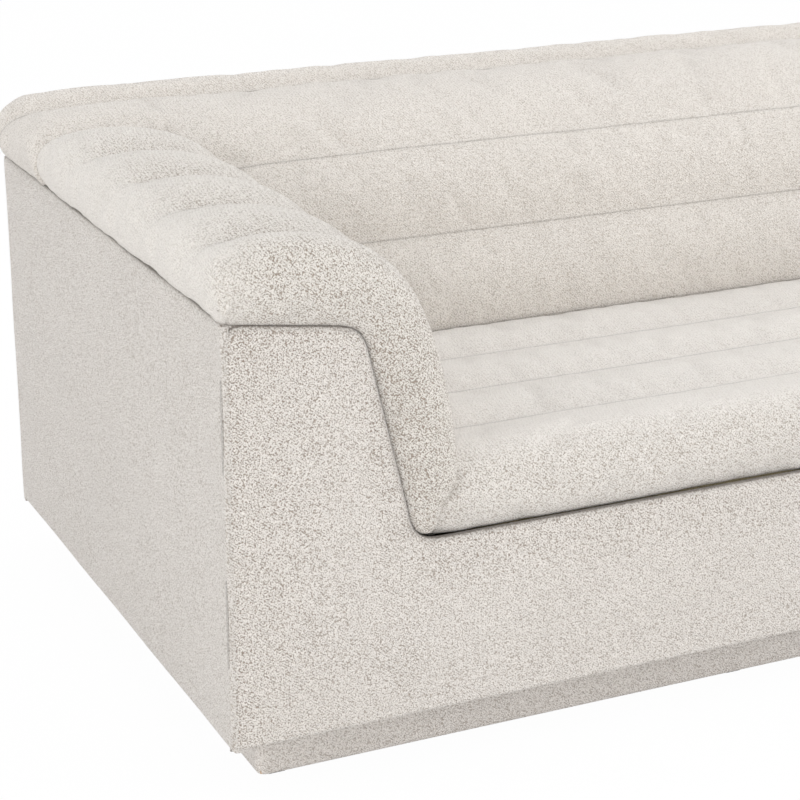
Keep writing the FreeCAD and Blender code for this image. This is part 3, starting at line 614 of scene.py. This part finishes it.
plinth_band = soft_shell(
    "plinth_cloth_band", plinth_outer, plinth_inner, turned=True, wrapped=True,
    marks={"gap_shade_share": 1.0, "seam": 1.0},
)
finish_soft(plinth_band, plinth_cloth, "plinth_boucle", 1, "plinth_cover")


# Side and rear covers: plain panels of the looped cloth, pulled flat over thin wadding and
# stapled under the arm's lip above and under the base below. Their edges are sewn.
casing_cloth = boucle_finish(
    "casing_boucle", crest=(0.84, 0.795, 0.745), gap_shade_colour=(0.33, 0.27, 0.215), gap_shade_strength=0.85,
    depth=0.0040,
)
SEAM_DIP = 0.005
SEAM_REACH = 0.010
EDGE_DIP = 0.003
EDGE_REACH = 0.004
HEM_ROUND = 0.008
PANEL_BACK = 0.0095


def rounded(distance, reach):
    """How far a round edge has dropped, as a share of its depth: 1 at the edge and 0 from
    reach inwards, along a quarter circle."""
    return 1 - np.sqrt(1 - np.clip(1 - distance / reach, 0, 1) ** 2)


def bulge(share):
    """Half a sine wave: 0 at both ends of the share and 1 in its middle."""
    return np.sin(math.pi * np.clip(share, 0, 1))


def panel_edges(across, up, width, height):
    """How far a panel's face lies behind its plane: a quarter round down to each sewn edge,
    a larger one at the hem, and a slight swell of the wadding in the middle."""
    dip = EDGE_DIP * rounded(np.minimum(across, width - across), EDGE_REACH)
    hem = HEM_ROUND * rounded(up, HEM_ROUND)
    head = SEAM_DIP * rounded(height - up, SEAM_REACH)
    swell = 0.0035 * bulge(across / width) * bulge(up / height)
    waves = 0.0008 * np.sin(across * 19 + 1.3) * np.sin(up * 23 + 0.4)
    return np.maximum(np.maximum(dip, hem), head) - swell - waves


def gathered(length, step, edge):
    """Places along a length, a step apart, and closer within edge of both ends."""
    close = edge * (1 - np.cos(np.linspace(0, math.pi / 2, 8)))
    count = int(round((length - 2 * edge) / step))
    middle = np.linspace(edge, length - edge, max(count, 2))
    return np.concatenate([close[:-1], middle, (length - close[:-1])[::-1]])


def plain_panel(name, node, origin, ahead, length, turned):
    """An upright panel from origin along ahead, as high as its CAD node. Its face is the plane
    moved back by the panel's edges, and its back is 9.5 mm behind the plane or a little more."""
    low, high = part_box(node)
    across = gathered(length, 0.022, 0.02)
    up = gathered(high.z - low.z, 0.022, 0.02)
    behind = panel_edges(across[None, :], up[:, None], length, high.z - low.z)
    away = np.array([-ahead[1], ahead[0], 0])
    grid = np.array(origin)[None, None] + across[None, :, None] * np.array(ahead)
    grid = grid + np.zeros((len(up), 1, 3)) + behind[..., None] * away
    grid[..., 2] = low.z + up[:, None]
    back = grid + (PANEL_BACK - behind[..., None] * 0.55) * away
    # The seam mark is the distance from the top edge, so painted shade falls under the arm's lip.
    marks = {"gap_shade_share": 1.0, "seam": (high.z - low.z - up)[:, None]}
    panel = soft_shell(name, grid, back, turned=turned, marks=marks)
    return finish_soft(panel, casing_cloth, "boucle", 1, node)


casing_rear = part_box("rear_cover")[1].y
plain_panel("left_side_panel", "left_side_cover", (-half, casing_rear, 0), (0, -1, 0),
            casing_rear - casing_front, True)
plain_panel("right_side_panel", "right_side_cover", (half, casing_front, 0), (0, 1, 0),
            casing_rear - casing_front, True)
plain_panel("rear_panel", "rear_cover", (half, casing_rear, 0), (-1, 0, 0), 2 * half, True)


# Front cover: one wide panel of the cloth, cut to the arms' outline and dipping under the
# seat's front roll between them. Its upper edge is tucked behind the pads.
# The front's crest colour is painted lighter than the side panels' cloth, though the cloth is the
# same: painted light on the forward-facing panel. It also takes the strongest painted shade between
# loops and at the seams.
front_cloth = boucle_finish(
    "front_boucle", crest=(0.90, 0.85, 0.795), gap_shade_colour=(0.31, 0.25, 0.20), gap_shade_strength=1.0, depth=0.0036,
    seam_shade_strength=0.9,
)
LIP_HEIGHT = 0.336
SEAM_KNOTS = [
    (0.0, 0.6767, 0.0), (0.168, 0.6535, 0.007), (0.2005, 0.628, 0.0),
    (0.262, 0.377, -0.009), (0.292, LIP_HEIGHT, 0.0), (0.345, LIP_HEIGHT, 0),
]
seam_line = eased(arcs(SEAM_KNOTS, 0.006)[0], 6)
CORNER_ROUND = 0.024
CORNER_INSET = 0.0015

front_across = np.concatenate([
    gathered(0.05, 0.008, 0.008)[:8], np.linspace(0.016, 0.176, 13),
    seam_line[seam_line[:, 0] > 0.178][:, 0], np.linspace(0.36, half, 42),
])
front_across = np.unique(np.round(front_across, 5))
front_top = np.interp(front_across, seam_line[:, 0], seam_line[:, 1])
front_up = gathered(1.0, 0.04, 0.05)
height_here = front_top - casing_low.z
rise_here = front_up[:, None] * height_here[None, :]
below_seam = np.maximum(front_top[None, :] - casing_low.z - rise_here, 0)
slope = np.gradient(front_top, front_across)
below_seam = below_seam / np.sqrt(1 + slope ** 2)[None, :]
side_dip = EDGE_DIP * rounded(front_across, EDGE_REACH)[None, :]
hem_dip = HEM_ROUND * rounded(rise_here, HEM_ROUND)
tuck_dip = 0.0045 * rounded(below_seam, 0.012)
front_dip = np.maximum(np.maximum(side_dip, hem_dip), tuck_dip)

# the sewn line: down the side and along the top, with a round corner between them. Its distance
# is negative outside it.
from_side = np.clip(CORNER_ROUND - front_across + CORNER_INSET, 0, None)[None, :]
from_top = np.clip(CORNER_ROUND - below_seam, 0, None)
front_seam = CORNER_ROUND - np.sqrt(from_side ** 2 + from_top ** 2)
front_dip += 0.0022 * np.exp(-(front_seam / 0.003) ** 2)
front_dip -= 0.003 * bulge(front_up)[:, None] * np.clip(front_across / 0.2, 0, 1)[None, :]
left_front = np.zeros((len(front_up), len(front_across), 3))
left_front[..., 0] = (-half + front_across)[None, :]
left_front[..., 1] = casing_front + front_dip
left_front[..., 2] = casing_low.z + rise_here
front_face = np.concatenate([left_front, mirrored(left_front)[:, -2::-1]], 1)
front_back = front_face.copy()
front_back[..., 1] = casing_front + 0.0105
# Painted shade: the spaces between loops are darker near the panel's left edge and under the arm's
# band, where shade falls.
front_gap_shade = 0.82 + 0.38 * np.exp(-front_across / 0.09)[None, :]
front_gap_shade = front_gap_shade + 0.25 * np.exp(-below_seam / 0.05)
front_gap_shade = np.concatenate([front_gap_shade, front_gap_shade[:, -2::-1]], 1)
front_seam = np.concatenate([front_seam, front_seam[:, -2::-1]], 1)
front_panel = soft_shell(
    "front_panel", front_face, front_back, turned=True,
    marks={"gap_shade_share": front_gap_shade, "seam": front_seam},
)
finish_soft(front_panel, front_cloth, "boucle", 1, "front_cover")


# Arm pads: foam rolled in the looped cloth and sewn into channels across the arm. Each pad
# starts at the front panel's seam, rolls over its edge, and runs back to the back's top roll.
arm_cloth = boucle_finish(
    "arm_boucle", crest=(0.88, 0.835, 0.775), gap_shade_colour=(0.33, 0.27, 0.215), gap_shade_strength=0.95, depth=0.0036,
    seam_shade_strength=0.45,
)
BAND_FLAT = 0.030
BAND_END = 0.088
BAND_STEPS = 7
CHANNEL = 0.168
CHANNELS = 4
CHANNEL_STEPS = 14
CHANNEL_POWER = 2.1
VALLEY = 0.020
ARM_END = BAND_END + CHANNELS * CHANNEL
UNDER_ROLL = 0.018
FRONT_PROUD = 0.012
FRONT_ROLL = 0.040
SEAM_BEHIND = 0.010
TUCKED = 0.003
arm_line = eased(arcs(ARM_CROWN, 0.0115)[0], 10)
arm_way = travelled(arm_line)
arm_normal = outward(arm_line)


def sunk(depth_place):
    """How far the arm's cloth lies under its crown at a distance behind the front: nothing on
    a channel's middle, and the whole valley at its two seams, along a curve of power 2.1.
    Behind the last seam it goes on down, under the back's top roll."""
    band = np.clip((depth_place - BAND_FLAT) / (BAND_END - BAND_FLAT), 0, 1) ** CHANNEL_POWER
    share = np.clip((depth_place - BAND_END) / CHANNEL, 0, CHANNELS)
    share = np.where(share >= CHANNELS, 0.0, share % 1.0)
    rest = np.abs(2 * share - 1) ** CHANNEL_POWER
    under = 0.8 * np.clip(depth_place - ARM_END, 0, 0.02)
    return VALLEY * np.where(depth_place < BAND_END, band, rest) + under


def arm_inner_place(height, depth_place):
    """How far from the sofa's side the arm's inner wall stands, at a height and a depth."""
    order = np.argsort(arm_line[:, 1])
    inner = order[arm_line[order, 0] > 0.19]
    crown = np.interp(height, arm_line[inner, 1], arm_line[inner, 0])
    lean = np.interp(height, arm_line[inner, 1], arm_normal[inner, 0])
    return crown - sunk(depth_place) * lean


channel_share = (1 - np.cos(np.linspace(0, math.pi, CHANNEL_STEPS + 1))) / 2
channel_share = 0.6 * channel_share + 0.4 * np.linspace(0, 1, CHANNEL_STEPS + 1)
band_places = FRONT_ROLL + (BAND_END - FRONT_ROLL) * np.linspace(0, 1, BAND_STEPS + 1)
depth_places = np.concatenate([
    band_places,
    *[BAND_END + CHANNEL * (count + channel_share[1:]) for count in range(CHANNELS)],
    [ARM_END + UNDER_ROLL],
])

# Where the front seam runs for each point of the crown: pairs of ways along crown and seam,
# smoothed over seven points. Each end is first carried on by three points.
seam_travelled = travelled(seam_line)
WAY_PAIRS = [
    (0, 0), (0.113, 0.016), (0.313, 0.172), (0.434, 0.208), (0.745, 0.480),
    (arm_way[-1], seam_travelled[-1] - 0.038),
]
seam_way = np.interp(arm_way, *zip(*WAY_PAIRS))
before = np.linspace(2 * seam_way[0] - seam_way[3], seam_way[0], 4)[:-1]
beyond = np.linspace(seam_way[-1], 2 * seam_way[-1] - seam_way[-4], 4)[1:]
seam_way = np.convolve(np.concatenate([before, seam_way, beyond]), np.ones(7) / 7, "valid")
seam_way = np.clip(seam_way, 0, None)
seam_at = np.stack([np.interp(seam_way, seam_travelled, seam_line[:, k]) for k in (0, 1)], 1)

FOOT_TURN = 0.034
FOOT_TOP = 0.425
FOOT_FALL = 0.089
FOOT_LINE = 0.40


def soft_step(share):
    """0 to 1 with level ends: three times the share's square less twice its cube."""
    return share ** 2 * (3 - 2 * share)


foot_share = soft_step(np.clip((FOOT_TOP - arm_line[:, 1]) / FOOT_FALL, 0, 1))
front_crown = arm_line.copy()
front_crown[:, 0] -= FOOT_TURN * foot_share
low_rise = (FOOT_LINE - LIP_HEIGHT) / (FOOT_LINE - foot_height)
low_part = LIP_HEIGHT + (front_crown[:, 1] - foot_height) * low_rise
front_crown[:, 1] = np.where(front_crown[:, 1] < FOOT_LINE, low_part, front_crown[:, 1])

reach = front_crown - seam_at
length_here = np.linalg.norm(reach, axis=1)
pinch = np.minimum(0.016, 0.28 * length_here)
roll = np.minimum(0.038, 0.58 * length_here)
out_share = np.clip(length_here / 0.05, 0, 1)
out_share = out_share * (2 - out_share)
lateral, ahead_by = [], []
for part in np.linspace(0, 1, 7)[:-1]:
    lateral.append((pinch + TUCKED) * part - TUCKED)
    come_out = (SEAM_BEHIND + FRONT_PROUD) * math.sin(part * math.pi / 2)
    ahead_by.append(SEAM_BEHIND - come_out * np.ones_like(pinch))
for part in np.linspace(0, 1, 7)[:-1]:
    lateral.append(pinch + (length_here - pinch - roll) * part)
    ahead_by.append(-FRONT_PROUD - 0.0035 * 4 * part * (1 - part) * np.ones_like(pinch))
for part in np.linspace(0, 1, 10)[:-1]:
    angle = part * math.pi / 2
    lateral.append(length_here - roll + roll * math.sin(angle))
    ahead_by.append(FRONT_ROLL - (FRONT_ROLL + FRONT_PROUD) * math.cos(angle) * np.ones_like(pinch))
lateral, ahead_by = np.array(lateral).T, np.array(ahead_by).T
unit = reach / np.maximum(length_here, 1e-9)[:, None]
face_spot = seam_at[:, None, :] + lateral[..., None] * unit[:, None, :]
face_deep = FRONT_ROLL - (FRONT_ROLL - ahead_by) * out_share[:, None]

back_share = soft_step(np.clip((depth_places - FRONT_ROLL) / 0.05, 0, 1))[None, :, None]
crown_here = front_crown[:, None, :] * (1 - back_share) + arm_line[:, None, :] * back_share
lip_share = np.clip((arm_way - 0.02) / 0.12, 0.15, 1)
sunk_here = sunk(depth_places)[None, :] * lip_share[:, None]
top_spot = crown_here - arm_normal[:, None, :] * sunk_here[..., None]
spots = np.concatenate([face_spot, top_spot], 1)
smooth_spots = np.concatenate([face_spot, crown_here], 1)
top_deep = np.broadcast_to(depth_places, (len(arm_line), len(depth_places)))
deeps = np.concatenate([face_deep, top_deep], 1)


def arm_grid(places):
    """Left arm points from (distance from the side, height) and distance behind the front."""
    return np.stack([-half + places[..., 0], casing_front + deeps, places[..., 1]], -1)


arm_outer = arm_grid(spots)
arm_base = arm_grid(smooth_spots)
thickness = np.clip(np.arange(arm_base.shape[1]) / 12, 0.3, 1) * 0.026
arm_inner_face = arm_base - grid_normals(arm_base) * thickness[None, :, None]


def fill(outer, kept, sewn, apart, turned, pressure, cap):
    """The filling: the cloth starts up to 4.5 mm inside its full shape, less near the seams,
    which lie apart from each point. Air presses it out for 20 steps while its sewn points are
    held, and no point then lies further than cap from where it started. Gives back the grid."""
    out = -1 if turned else 1
    outer = outer - out * grid_normals(outer) * (0.0045 * np.clip(apart / 0.03, 0, 1))[..., None]
    rows, columns = outer.shape[:2]
    cells = grid_cells(rows, columns, kept)
    if turned:
        cells = cells[:, ::-1]
    used, faces = np.unique(cells, return_inverse=True)
    start = outer.reshape(-1, 3)[used]
    mesh = bpy.data.meshes.new("filling")
    mesh.from_pydata(start.tolist(), [], faces.reshape(-1, 4).tolist())
    mesh.update()
    sack = placed("filling", mesh)
    held = sack.vertex_groups.new(name="sewn")
    weights = sewn.reshape(-1)[used]
    for weight in np.unique(weights):
        held.add(np.flatnonzero(weights == weight).tolist(), float(weight), "REPLACE")
    cloth = sack.modifiers.new("cloth", "CLOTH")
    made = cloth.settings
    made.quality = 5
    made.mass = 0.4
    made.tension_stiffness = 22
    made.compression_stiffness = 22
    made.shear_stiffness = 8
    made.bending_stiffness = 1.5
    made.tension_damping = 12
    made.compression_damping = 12
    made.air_damping = 3
    made.vertex_group_mass = "sewn"
    made.pin_stiffness = 1
    made.use_pressure = True
    made.uniform_pressure_force = pressure
    made.shrink_min = -0.012
    made.effector_weights.gravity = 0
    cloth.collision_settings.use_collision = False
    cloth.point_cache.frame_start = 1
    cloth.point_cache.frame_end = 20
    scene = bpy.context.scene
    for step in range(1, 21):
        scene.frame_set(step)
    settled = sack.evaluated_get(bpy.context.evaluated_depsgraph_get()).to_mesh()
    moved = np.zeros(len(start) * 3)
    settled.vertices.foreach_get("co", moved)
    moved = moved.reshape(-1, 3) - start
    scene.frame_set(1)
    bpy.data.objects.remove(sack)
    far = np.linalg.norm(moved, axis=1)
    print(f"filling moved {1000 * far.mean():.1f} mm, at most {1000 * far.max():.1f} mm")
    moved *= np.minimum(1, cap / np.maximum(far, 1e-9))[:, None]
    filled = outer.reshape(-1, 3).copy()
    filled[used] += moved
    return filled.reshape(outer.shape)


def uneven(grid, seed, amount):
    """Moves a grid along its normals by slow waves, so that no two channels are quite alike:
    nine sines of seeded direction, length, phase and weight."""
    luck = np.random.default_rng(seed)
    shift = np.zeros(grid.shape[:2])
    for _ in range(9):
        pull = luck.normal(0, 14, 3)
        shift += np.sin(grid @ pull + luck.uniform(0, 6.28)) * luck.uniform(0.4, 1)
    return grid + grid_normals(grid) * (shift * amount / 3)[..., None]


arm_seams = np.zeros(arm_outer.shape[:2])
arm_seams[0] = arm_seams[-1] = 1
arm_seams[:, 0] = arm_seams[:, -1] = 1
first_top = arm_outer.shape[1] - len(depth_places)
valleys = [first_top + BAND_STEPS + CHANNEL_STEPS * count for count in range(CHANNELS + 1)]
arm_seams[:, valleys] = 1
arm_apart = from_seams(arm_outer, (), [0, *valleys])
arm_held = from_seams(arm_outer, (0, -1), [0, *valleys, -1])
# Painted shade: the forward-facing slopes get darker spaces between loops than the tops, as the
# light from behind and above leaves them darker; less towards the lip and more down the inner wall.
arm_gap_shade = 0.68 + 0.42 * np.clip(-2.2 * grid_normals(arm_outer)[..., 1], 0, 1)
arm_gap_shade *= (np.clip(arm_way / 0.16, 0.6, 1) + 0.3 * np.clip((arm_way - 0.35) / 0.1, 0, 1))[:, None]
arm_apart += 0.010 * np.clip(1 - arm_way / 0.14, 0, 1)[:, None]
arm_marks = {"gap_shade_share": arm_gap_shade, "seam": arm_apart}
arm_outer = uneven(arm_outer, 4, 0.0009)
arm_filled = fill(arm_outer, None, arm_seams, arm_held, False, 5.0, 0.007)


def channel_pad(name, outer, inner, material, node, turned, marks, kept=None):
    """One pad between its cloth and its base, finished."""
    pad = soft_shell(name, outer, inner, kept, turned=turned, marks=marks)
    finish_soft(pad, material, "boucle", 1, node)


channel_pad("left_arm_pad", arm_filled, arm_inner_face, arm_cloth, "left_arm_channel_pad",
            False, arm_marks)
channel_pad("right_arm_pad", mirrored(arm_filled), mirrored(arm_inner_face), arm_cloth,
            "right_arm_channel_pad", True, arm_marks)


# Back pad: one long channelled pad. Two rolls rise from the seat, the third is the thick top
# roll, which runs on over the arms' ends, and a narrow fourth one turns down over the rear.
back_cloth = boucle_finish(
    "back_boucle", crest=(0.85, 0.80, 0.74), gap_shade_colour=(0.37, 0.31, 0.25), gap_shade_strength=0.75, depth=0.0034,
)
CORNER_CENTRE = 0.965
NOSE_START = 0.035
ROLL_DROP = 0.006
ROLL_TOP = 0.766
back_line, back_ends = arcs(BACK_CROWN, 0.0125, 0.55)
crease, third_seam, second_seam, first_seam = back_ends[1:5]
back_line = eased(back_line, 6, back_ends[1:5])
for spot in (ARM_END, CORNER_CENTRE):
    run = back_line[second_seam:back_ends[5] - 1]
    run[int(np.argmin(np.abs(run[:, 0] - spot)))] = (spot, np.interp(spot, run[:, 0], run[:, 1]))
over_arm = int(np.argmin(np.abs(back_line[:, 0] - ARM_END)))
turn_row = int(np.argmin(np.abs(back_line[:first_seam + 12, 0] - CORNER_CENTRE)))
back_normal = outward(back_line)

NOSE = [(0.0, 0.775, 0.001), (0.030, 0.770, 0.028), (0.035, top_edge, 0)]
nose_line = eased(arcs(NOSE, 0.010)[0], 6)
nose_share = travelled(nose_line) / travelled(nose_line)[-1]
nose_fall = (nose_line[:, 1] - top_edge) / (nose_line[0, 1] - top_edge)
flat_places = np.linspace(SHOULDER, NOSE_START, 15)[1:]
side_drop = ROLL_DROP * ((SHOULDER - flat_places) / (SHOULDER - NOSE_START)) ** 2

below_shoulder = np.minimum(back_line[:, 1], SHOULDER_HEIGHT - 0.001)
end_place = np.where(
    back_line[:, 0] < ARM_END, arm_inner_place(below_shoulder, back_line[:, 0]), SHOULDER,
)
end_place[:over_arm] = np.maximum(end_place[:over_arm], SHOULDER)
across_share = gathered(2.0, 0.0135, 0.03) - 1
inner_x = (half - end_place)[:, None] * across_share[None, :]
seam_dip = VALLEY * np.clip(1 - (back_line[:, 0] - ARM_END) / 0.05, 0, 1) ** 2.2
top_share = np.clip((back_line[:, 1] - top_edge) / (ROLL_TOP - top_edge), 0, 1)

outer_columns = len(flat_places) + len(nose_line) - 1
end_grid = np.zeros((len(back_line), outer_columns, 3))
for column, place in enumerate(flat_places):
    ease_in = np.clip((SHOULDER - place) / 0.05, 0, 1)
    end_grid[:, column, 0] = place
    end_grid[:, column, 1] = back_line[:, 0]
    end_grid[:, column, 2] = back_line[:, 1] - side_drop[column] * top_share - seam_dip * ease_in
shown_height = back_line[:, 1] - ROLL_DROP * top_share - seam_dip
nose_part = slice(len(flat_places), outer_columns)
end_grid[:, nose_part, 0] = NOSE_START - nose_line[None, 1:, 0]
end_grid[:, nose_part, 1] = back_line[:, :1]
end_grid[:, nose_part, 2] = top_edge + (shown_height - top_edge)[:, None] * nose_fall[None, 1:]
rear_way = travelled(back_line[turn_row:])
rear_share = rear_way / rear_way[-1]
corner_far = np.maximum(rear_share[:, None], nose_share[None, 1:])
corner_turn = math.pi / 2 * rear_share[:, None] / (rear_share[:, None] + nose_share[None, 1:])
turn_share = corner_turn / (math.pi / 2)
side_out = np.interp(corner_far, nose_share, nose_line[:, 0])
side_fall = np.interp(corner_far, nose_share, nose_fall)
side_height = top_edge + (shown_height[turn_row] - top_edge) * side_fall
rear_out = np.interp(corner_far, rear_share, back_line[turn_row:, 0] - CORNER_CENTRE)
rear_height = np.interp(corner_far, rear_share, shown_height[turn_row:])
corner_out = (1 - turn_share) * side_out + turn_share * rear_out
end_grid[turn_row:, nose_part, 0] = NOSE_START - corner_out * np.cos(corner_turn)
end_grid[turn_row:, nose_part, 1] = CORNER_CENTRE + corner_out * np.sin(corner_turn)
end_grid[turn_row:, nose_part, 2] = (1 - turn_share) * side_height + turn_share * rear_height
end_grid += (-half, casing_front, 0)
middle_grid = np.stack([
    inner_x,
    np.broadcast_to(casing_front + back_line[:, :1], inner_x.shape),
    np.broadcast_to(back_line[:, 1:], inner_x.shape),
], -1)
from_end = (half - end_place)[:, None] * (1 - np.abs(across_share))[None, :]
past_arm = back_line[:, 0] >= ARM_END
before_end = np.clip((ARM_END - back_line[:, 0]) / 0.06, 0, 1)
corner_sink = VALLEY * (1 - before_end) ** 1.5 + 0.012 * before_end
corner_sink[past_arm] = seam_dip[past_arm]
sink_way = np.where(past_arm[:, None], (0, 1), back_normal)
drawn = corner_sink[:, None] * np.exp(-from_end / 0.035)
back_base = np.concatenate([end_grid[:, ::-1], middle_grid, mirrored(end_grid)], 1)
middle_grid = middle_grid.copy()
middle_grid[..., 1] -= drawn * sink_way[:, :1]
middle_grid[..., 2] -= drawn * sink_way[:, 1:]
back_outer = np.concatenate([end_grid[:, ::-1], middle_grid, mirrored(end_grid)], 1)
back_kept = np.ones((back_outer.shape[0] - 1, back_outer.shape[1] - 1), bool)
back_kept[:over_arm, :outer_columns] = False
back_kept[:over_arm, -outer_columns:] = False
back_inner_face = back_base + grid_normals(back_base) * 0.026
back_seams = (crease, third_seam, second_seam, first_seam)
back_sewn = np.zeros(back_outer.shape[:2])
back_sewn[[0, *back_seams, -1]] = 1
back_sewn[first_seam + 1:-1] = 0.3
back_sewn[:, [0, -1]] = 1
back_sewn[:over_arm + 1, :outer_columns + 1] = 1
back_sewn[:over_arm + 1, -outer_columns - 1:] = 1
back_apart = from_seams(back_outer, back_seams)
back_held = from_seams(back_outer, (0, *back_seams, -1), (0, -1))
arm_side = from_seams(back_outer, (), (outer_columns, -outer_columns - 1))
back_held = np.minimum(back_held, arm_side + np.clip(back_line[:, :1] - ARM_END, 0, None))
back_outer = uneven(back_outer, 9, -0.0012)
back_filled = fill(back_outer, back_kept, back_sewn, back_held, True, 4.0, 0.008)
channel_pad("back_pad", back_filled, back_inner_face, back_cloth, "back_channel_pad", True,
            {"gap_shade_share": 0.85, "seam": back_apart}, back_kept)


# Seat pad: the tight seat's cloth and wadding over the foam, sewn into three flat channels
# and a full front roll, whose lower ends are mitred to the feet of the arms' front bands.
seat_cloth = boucle_finish(
    "seat_boucle", crest=(0.885, 0.84, 0.785), gap_shade_colour=(0.33, 0.27, 0.215), gap_shade_strength=0.9, depth=0.0034,
)
INTO_BAND = 0.026
SEAT_CROWN = [
    (0.020, 0.329, 0.007), (-0.012, 0.364, 0.003), (-0.009, 0.410, 0.013),
    (0.040, 0.4505, 0.004), (0.126, 0.438, 0.014), (0.264, 0.438, 0.014),
    (0.402, 0.438, 0.014), (0.5397, 0.438, 0),
]
seat_line, seat_ends = arcs(SEAT_CROWN, 0.0115, 0.4)
seat_line = eased(seat_line, 8, seat_ends[4:7])
seat_normal = outward(seat_line)
mitre = soft_step(np.clip((FOOT_TOP - seat_line[:, 1]) / FOOT_FALL, 0, 1))
mitre = mitre * np.clip(1 - seat_line[:, 0] / 0.05, 0, 1)
seat_end = arm_inner_place(seat_line[:, 1], np.maximum(seat_line[:, 0], BAND_FLAT))
seat_end = seat_end - (FOOT_TURN + 0.004) * mitre + 0.0015
near_front = np.clip((0.07 - seat_line[:, 0]) / 0.03, 0, 1)
seat_end -= INTO_BAND * near_front
seat_share = gathered(2.0, 0.0145, 0.03) - 1
seat_base = np.zeros((len(seat_line), len(seat_share), 3))
seat_base[..., 0] = (half - seat_end)[:, None] * seat_share[None, :]
seat_base[..., 1] = casing_front + seat_line[:, :1]
seat_base[..., 2] = seat_line[:, 1:]
from_arm = (half - seat_end)[:, None] * (1 - np.abs(seat_share))[None, :]
drawn = np.exp(-from_arm / (0.011 + 0.004 * near_front)[:, None])
drawn = (0.011 + 0.017 * near_front)[:, None] * drawn
seat_outer = seat_base.copy()
seat_outer[..., 1] -= drawn * seat_normal[:, :1]
seat_outer[..., 2] -= drawn * seat_normal[:, 1:] * (1 - near_front)[:, None]
seat_inner_face = seat_base + grid_normals(seat_base) * 0.022
seat_seams = seat_ends[4:7]
seat_sewn = np.zeros(seat_outer.shape[:2])
seat_sewn[[0, *seat_seams, -1]] = 1
seat_sewn[:, [0, -1]] = 1
seat_apart = from_seams(seat_outer, seat_seams)
seat_held = from_seams(seat_outer, (0, *seat_seams, -1), (0, -1))
# Painted shade: the forward-facing front roll gets far darker spaces between loops than the seat's
# top.
seat_gap_shade = 0.30 + 0.65 * np.clip(1.2 * grid_normals(seat_outer)[..., 1], 0, 1)
seat_outer = uneven(seat_outer, 16, -0.0010)
seat_filled = fill(seat_outer, None, seat_sewn, seat_held, True, 3.5, 0.006)
channel_pad("seat_pad", seat_filled, seat_inner_face, seat_cloth, "seat_channel_pad", True,
            {"gap_shade_share": seat_gap_shade, "seam": seat_apart})


# The studio: a white floor that runs out of the picture, a soft grey-white room, a wide soft
# lamp overhead and behind, one at each side, and a low one in front that rakes the cloth.
def paper_finish(name):
    """White paper: the camera sees mostly plain white, and a little of the lit paper, which
    keeps the sofa's shadow."""
    paper = Finish(name)
    path = paper.node("ShaderNodeLightPath", {}, {}, "Is Camera Ray")
    glossy = paper.node("ShaderNodeLightPath", {}, {}, "Is Glossy Ray")
    seen = (path + glossy).sum("MINIMUM", path + glossy, 1) * 0.97
    grain = paper.noise(paper.place(), 300, 2)
    lit = paper.node("ShaderNodeBsdfDiffuse", {}, {
        "Color": paper.blend(grain, (0.86, 0.86, 0.86), (0.9, 0.9, 0.9)),
    })
    white = paper.node("ShaderNodeEmission", {}, {"Color": (1, 1, 1, 1), "Strength": 1.0})
    mixed = paper.node("ShaderNodeMixShader", {}, {0: seen, 1: lit, 2: white})
    paper.node("ShaderNodeOutputMaterial", {}, {"Surface": mixed})
    return paper.material


ground = bpy.data.meshes.new("studio_floor")
ground.from_pydata([(-30, -30, 0), (30, -30, 0), (30, 30, 0), (-30, 30, 0)], [], [(0, 1, 2, 3)])
ground.update()
studio_floor = placed("studio_floor", ground)
ground.materials.append(paper_finish("studio_paper"))

world = bpy.data.worlds.new("studio_room")
bpy.context.scene.world = world
room = Finish("studio_room", world)
seen = room.node("ShaderNodeLightPath", {}, {}, "Is Camera Ray")
air = room.node("ShaderNodeBackground", {}, {"Color": (0.97, 0.98, 1.0, 1), "Strength": 0.96})
white = room.node("ShaderNodeBackground", {}, {"Color": (1, 1, 1, 1), "Strength": 1.0})
both = room.node("ShaderNodeMixShader", {}, {0: seen, 1: air, 2: white})
room.node("ShaderNodeOutputWorld", {}, {"Surface": both})


def soft_lamp(name, place, aim, width, height, power, tint):
    """A flat rectangular lamp at place, turned to face aim."""
    lamp = bpy.data.lights.new(name, "AREA")
    lamp.shape = "RECTANGLE"
    lamp.size = width
    lamp.size_y = height
    lamp.energy = power
    lamp.color = tint
    stand = placed(name, lamp)
    stand.location = place
    stand.rotation_euler = (Vector(aim) - Vector(place)).to_track_quat("-Z", "Y").to_euler()


soft_lamp("overhead_lamp", (-0.6, 1.6, 3.2), (-0.3, 0, 0.4), 3.6, 2.0, 16, (1, 0.99, 0.97))
soft_lamp("left_lamp", (-4.2, -1.0, 1.9), (-1.0, 0, 0.5), 2.0, 2.2, 27, (1, 0.985, 0.96))
soft_lamp("right_lamp", (3.6, -0.9, 1.8), (-0.9, -0.4, 0.5), 2.4, 1.6, 82, (1, 0.99, 0.97))
soft_lamp("front_lamp", (-2.4, -5.2, 1.1), (-0.5, -0.5, 0.2), 3.0, 1.6, 45, (1, 0.985, 0.96))

bpy.context.scene.view_settings.view_transform = "Standard"
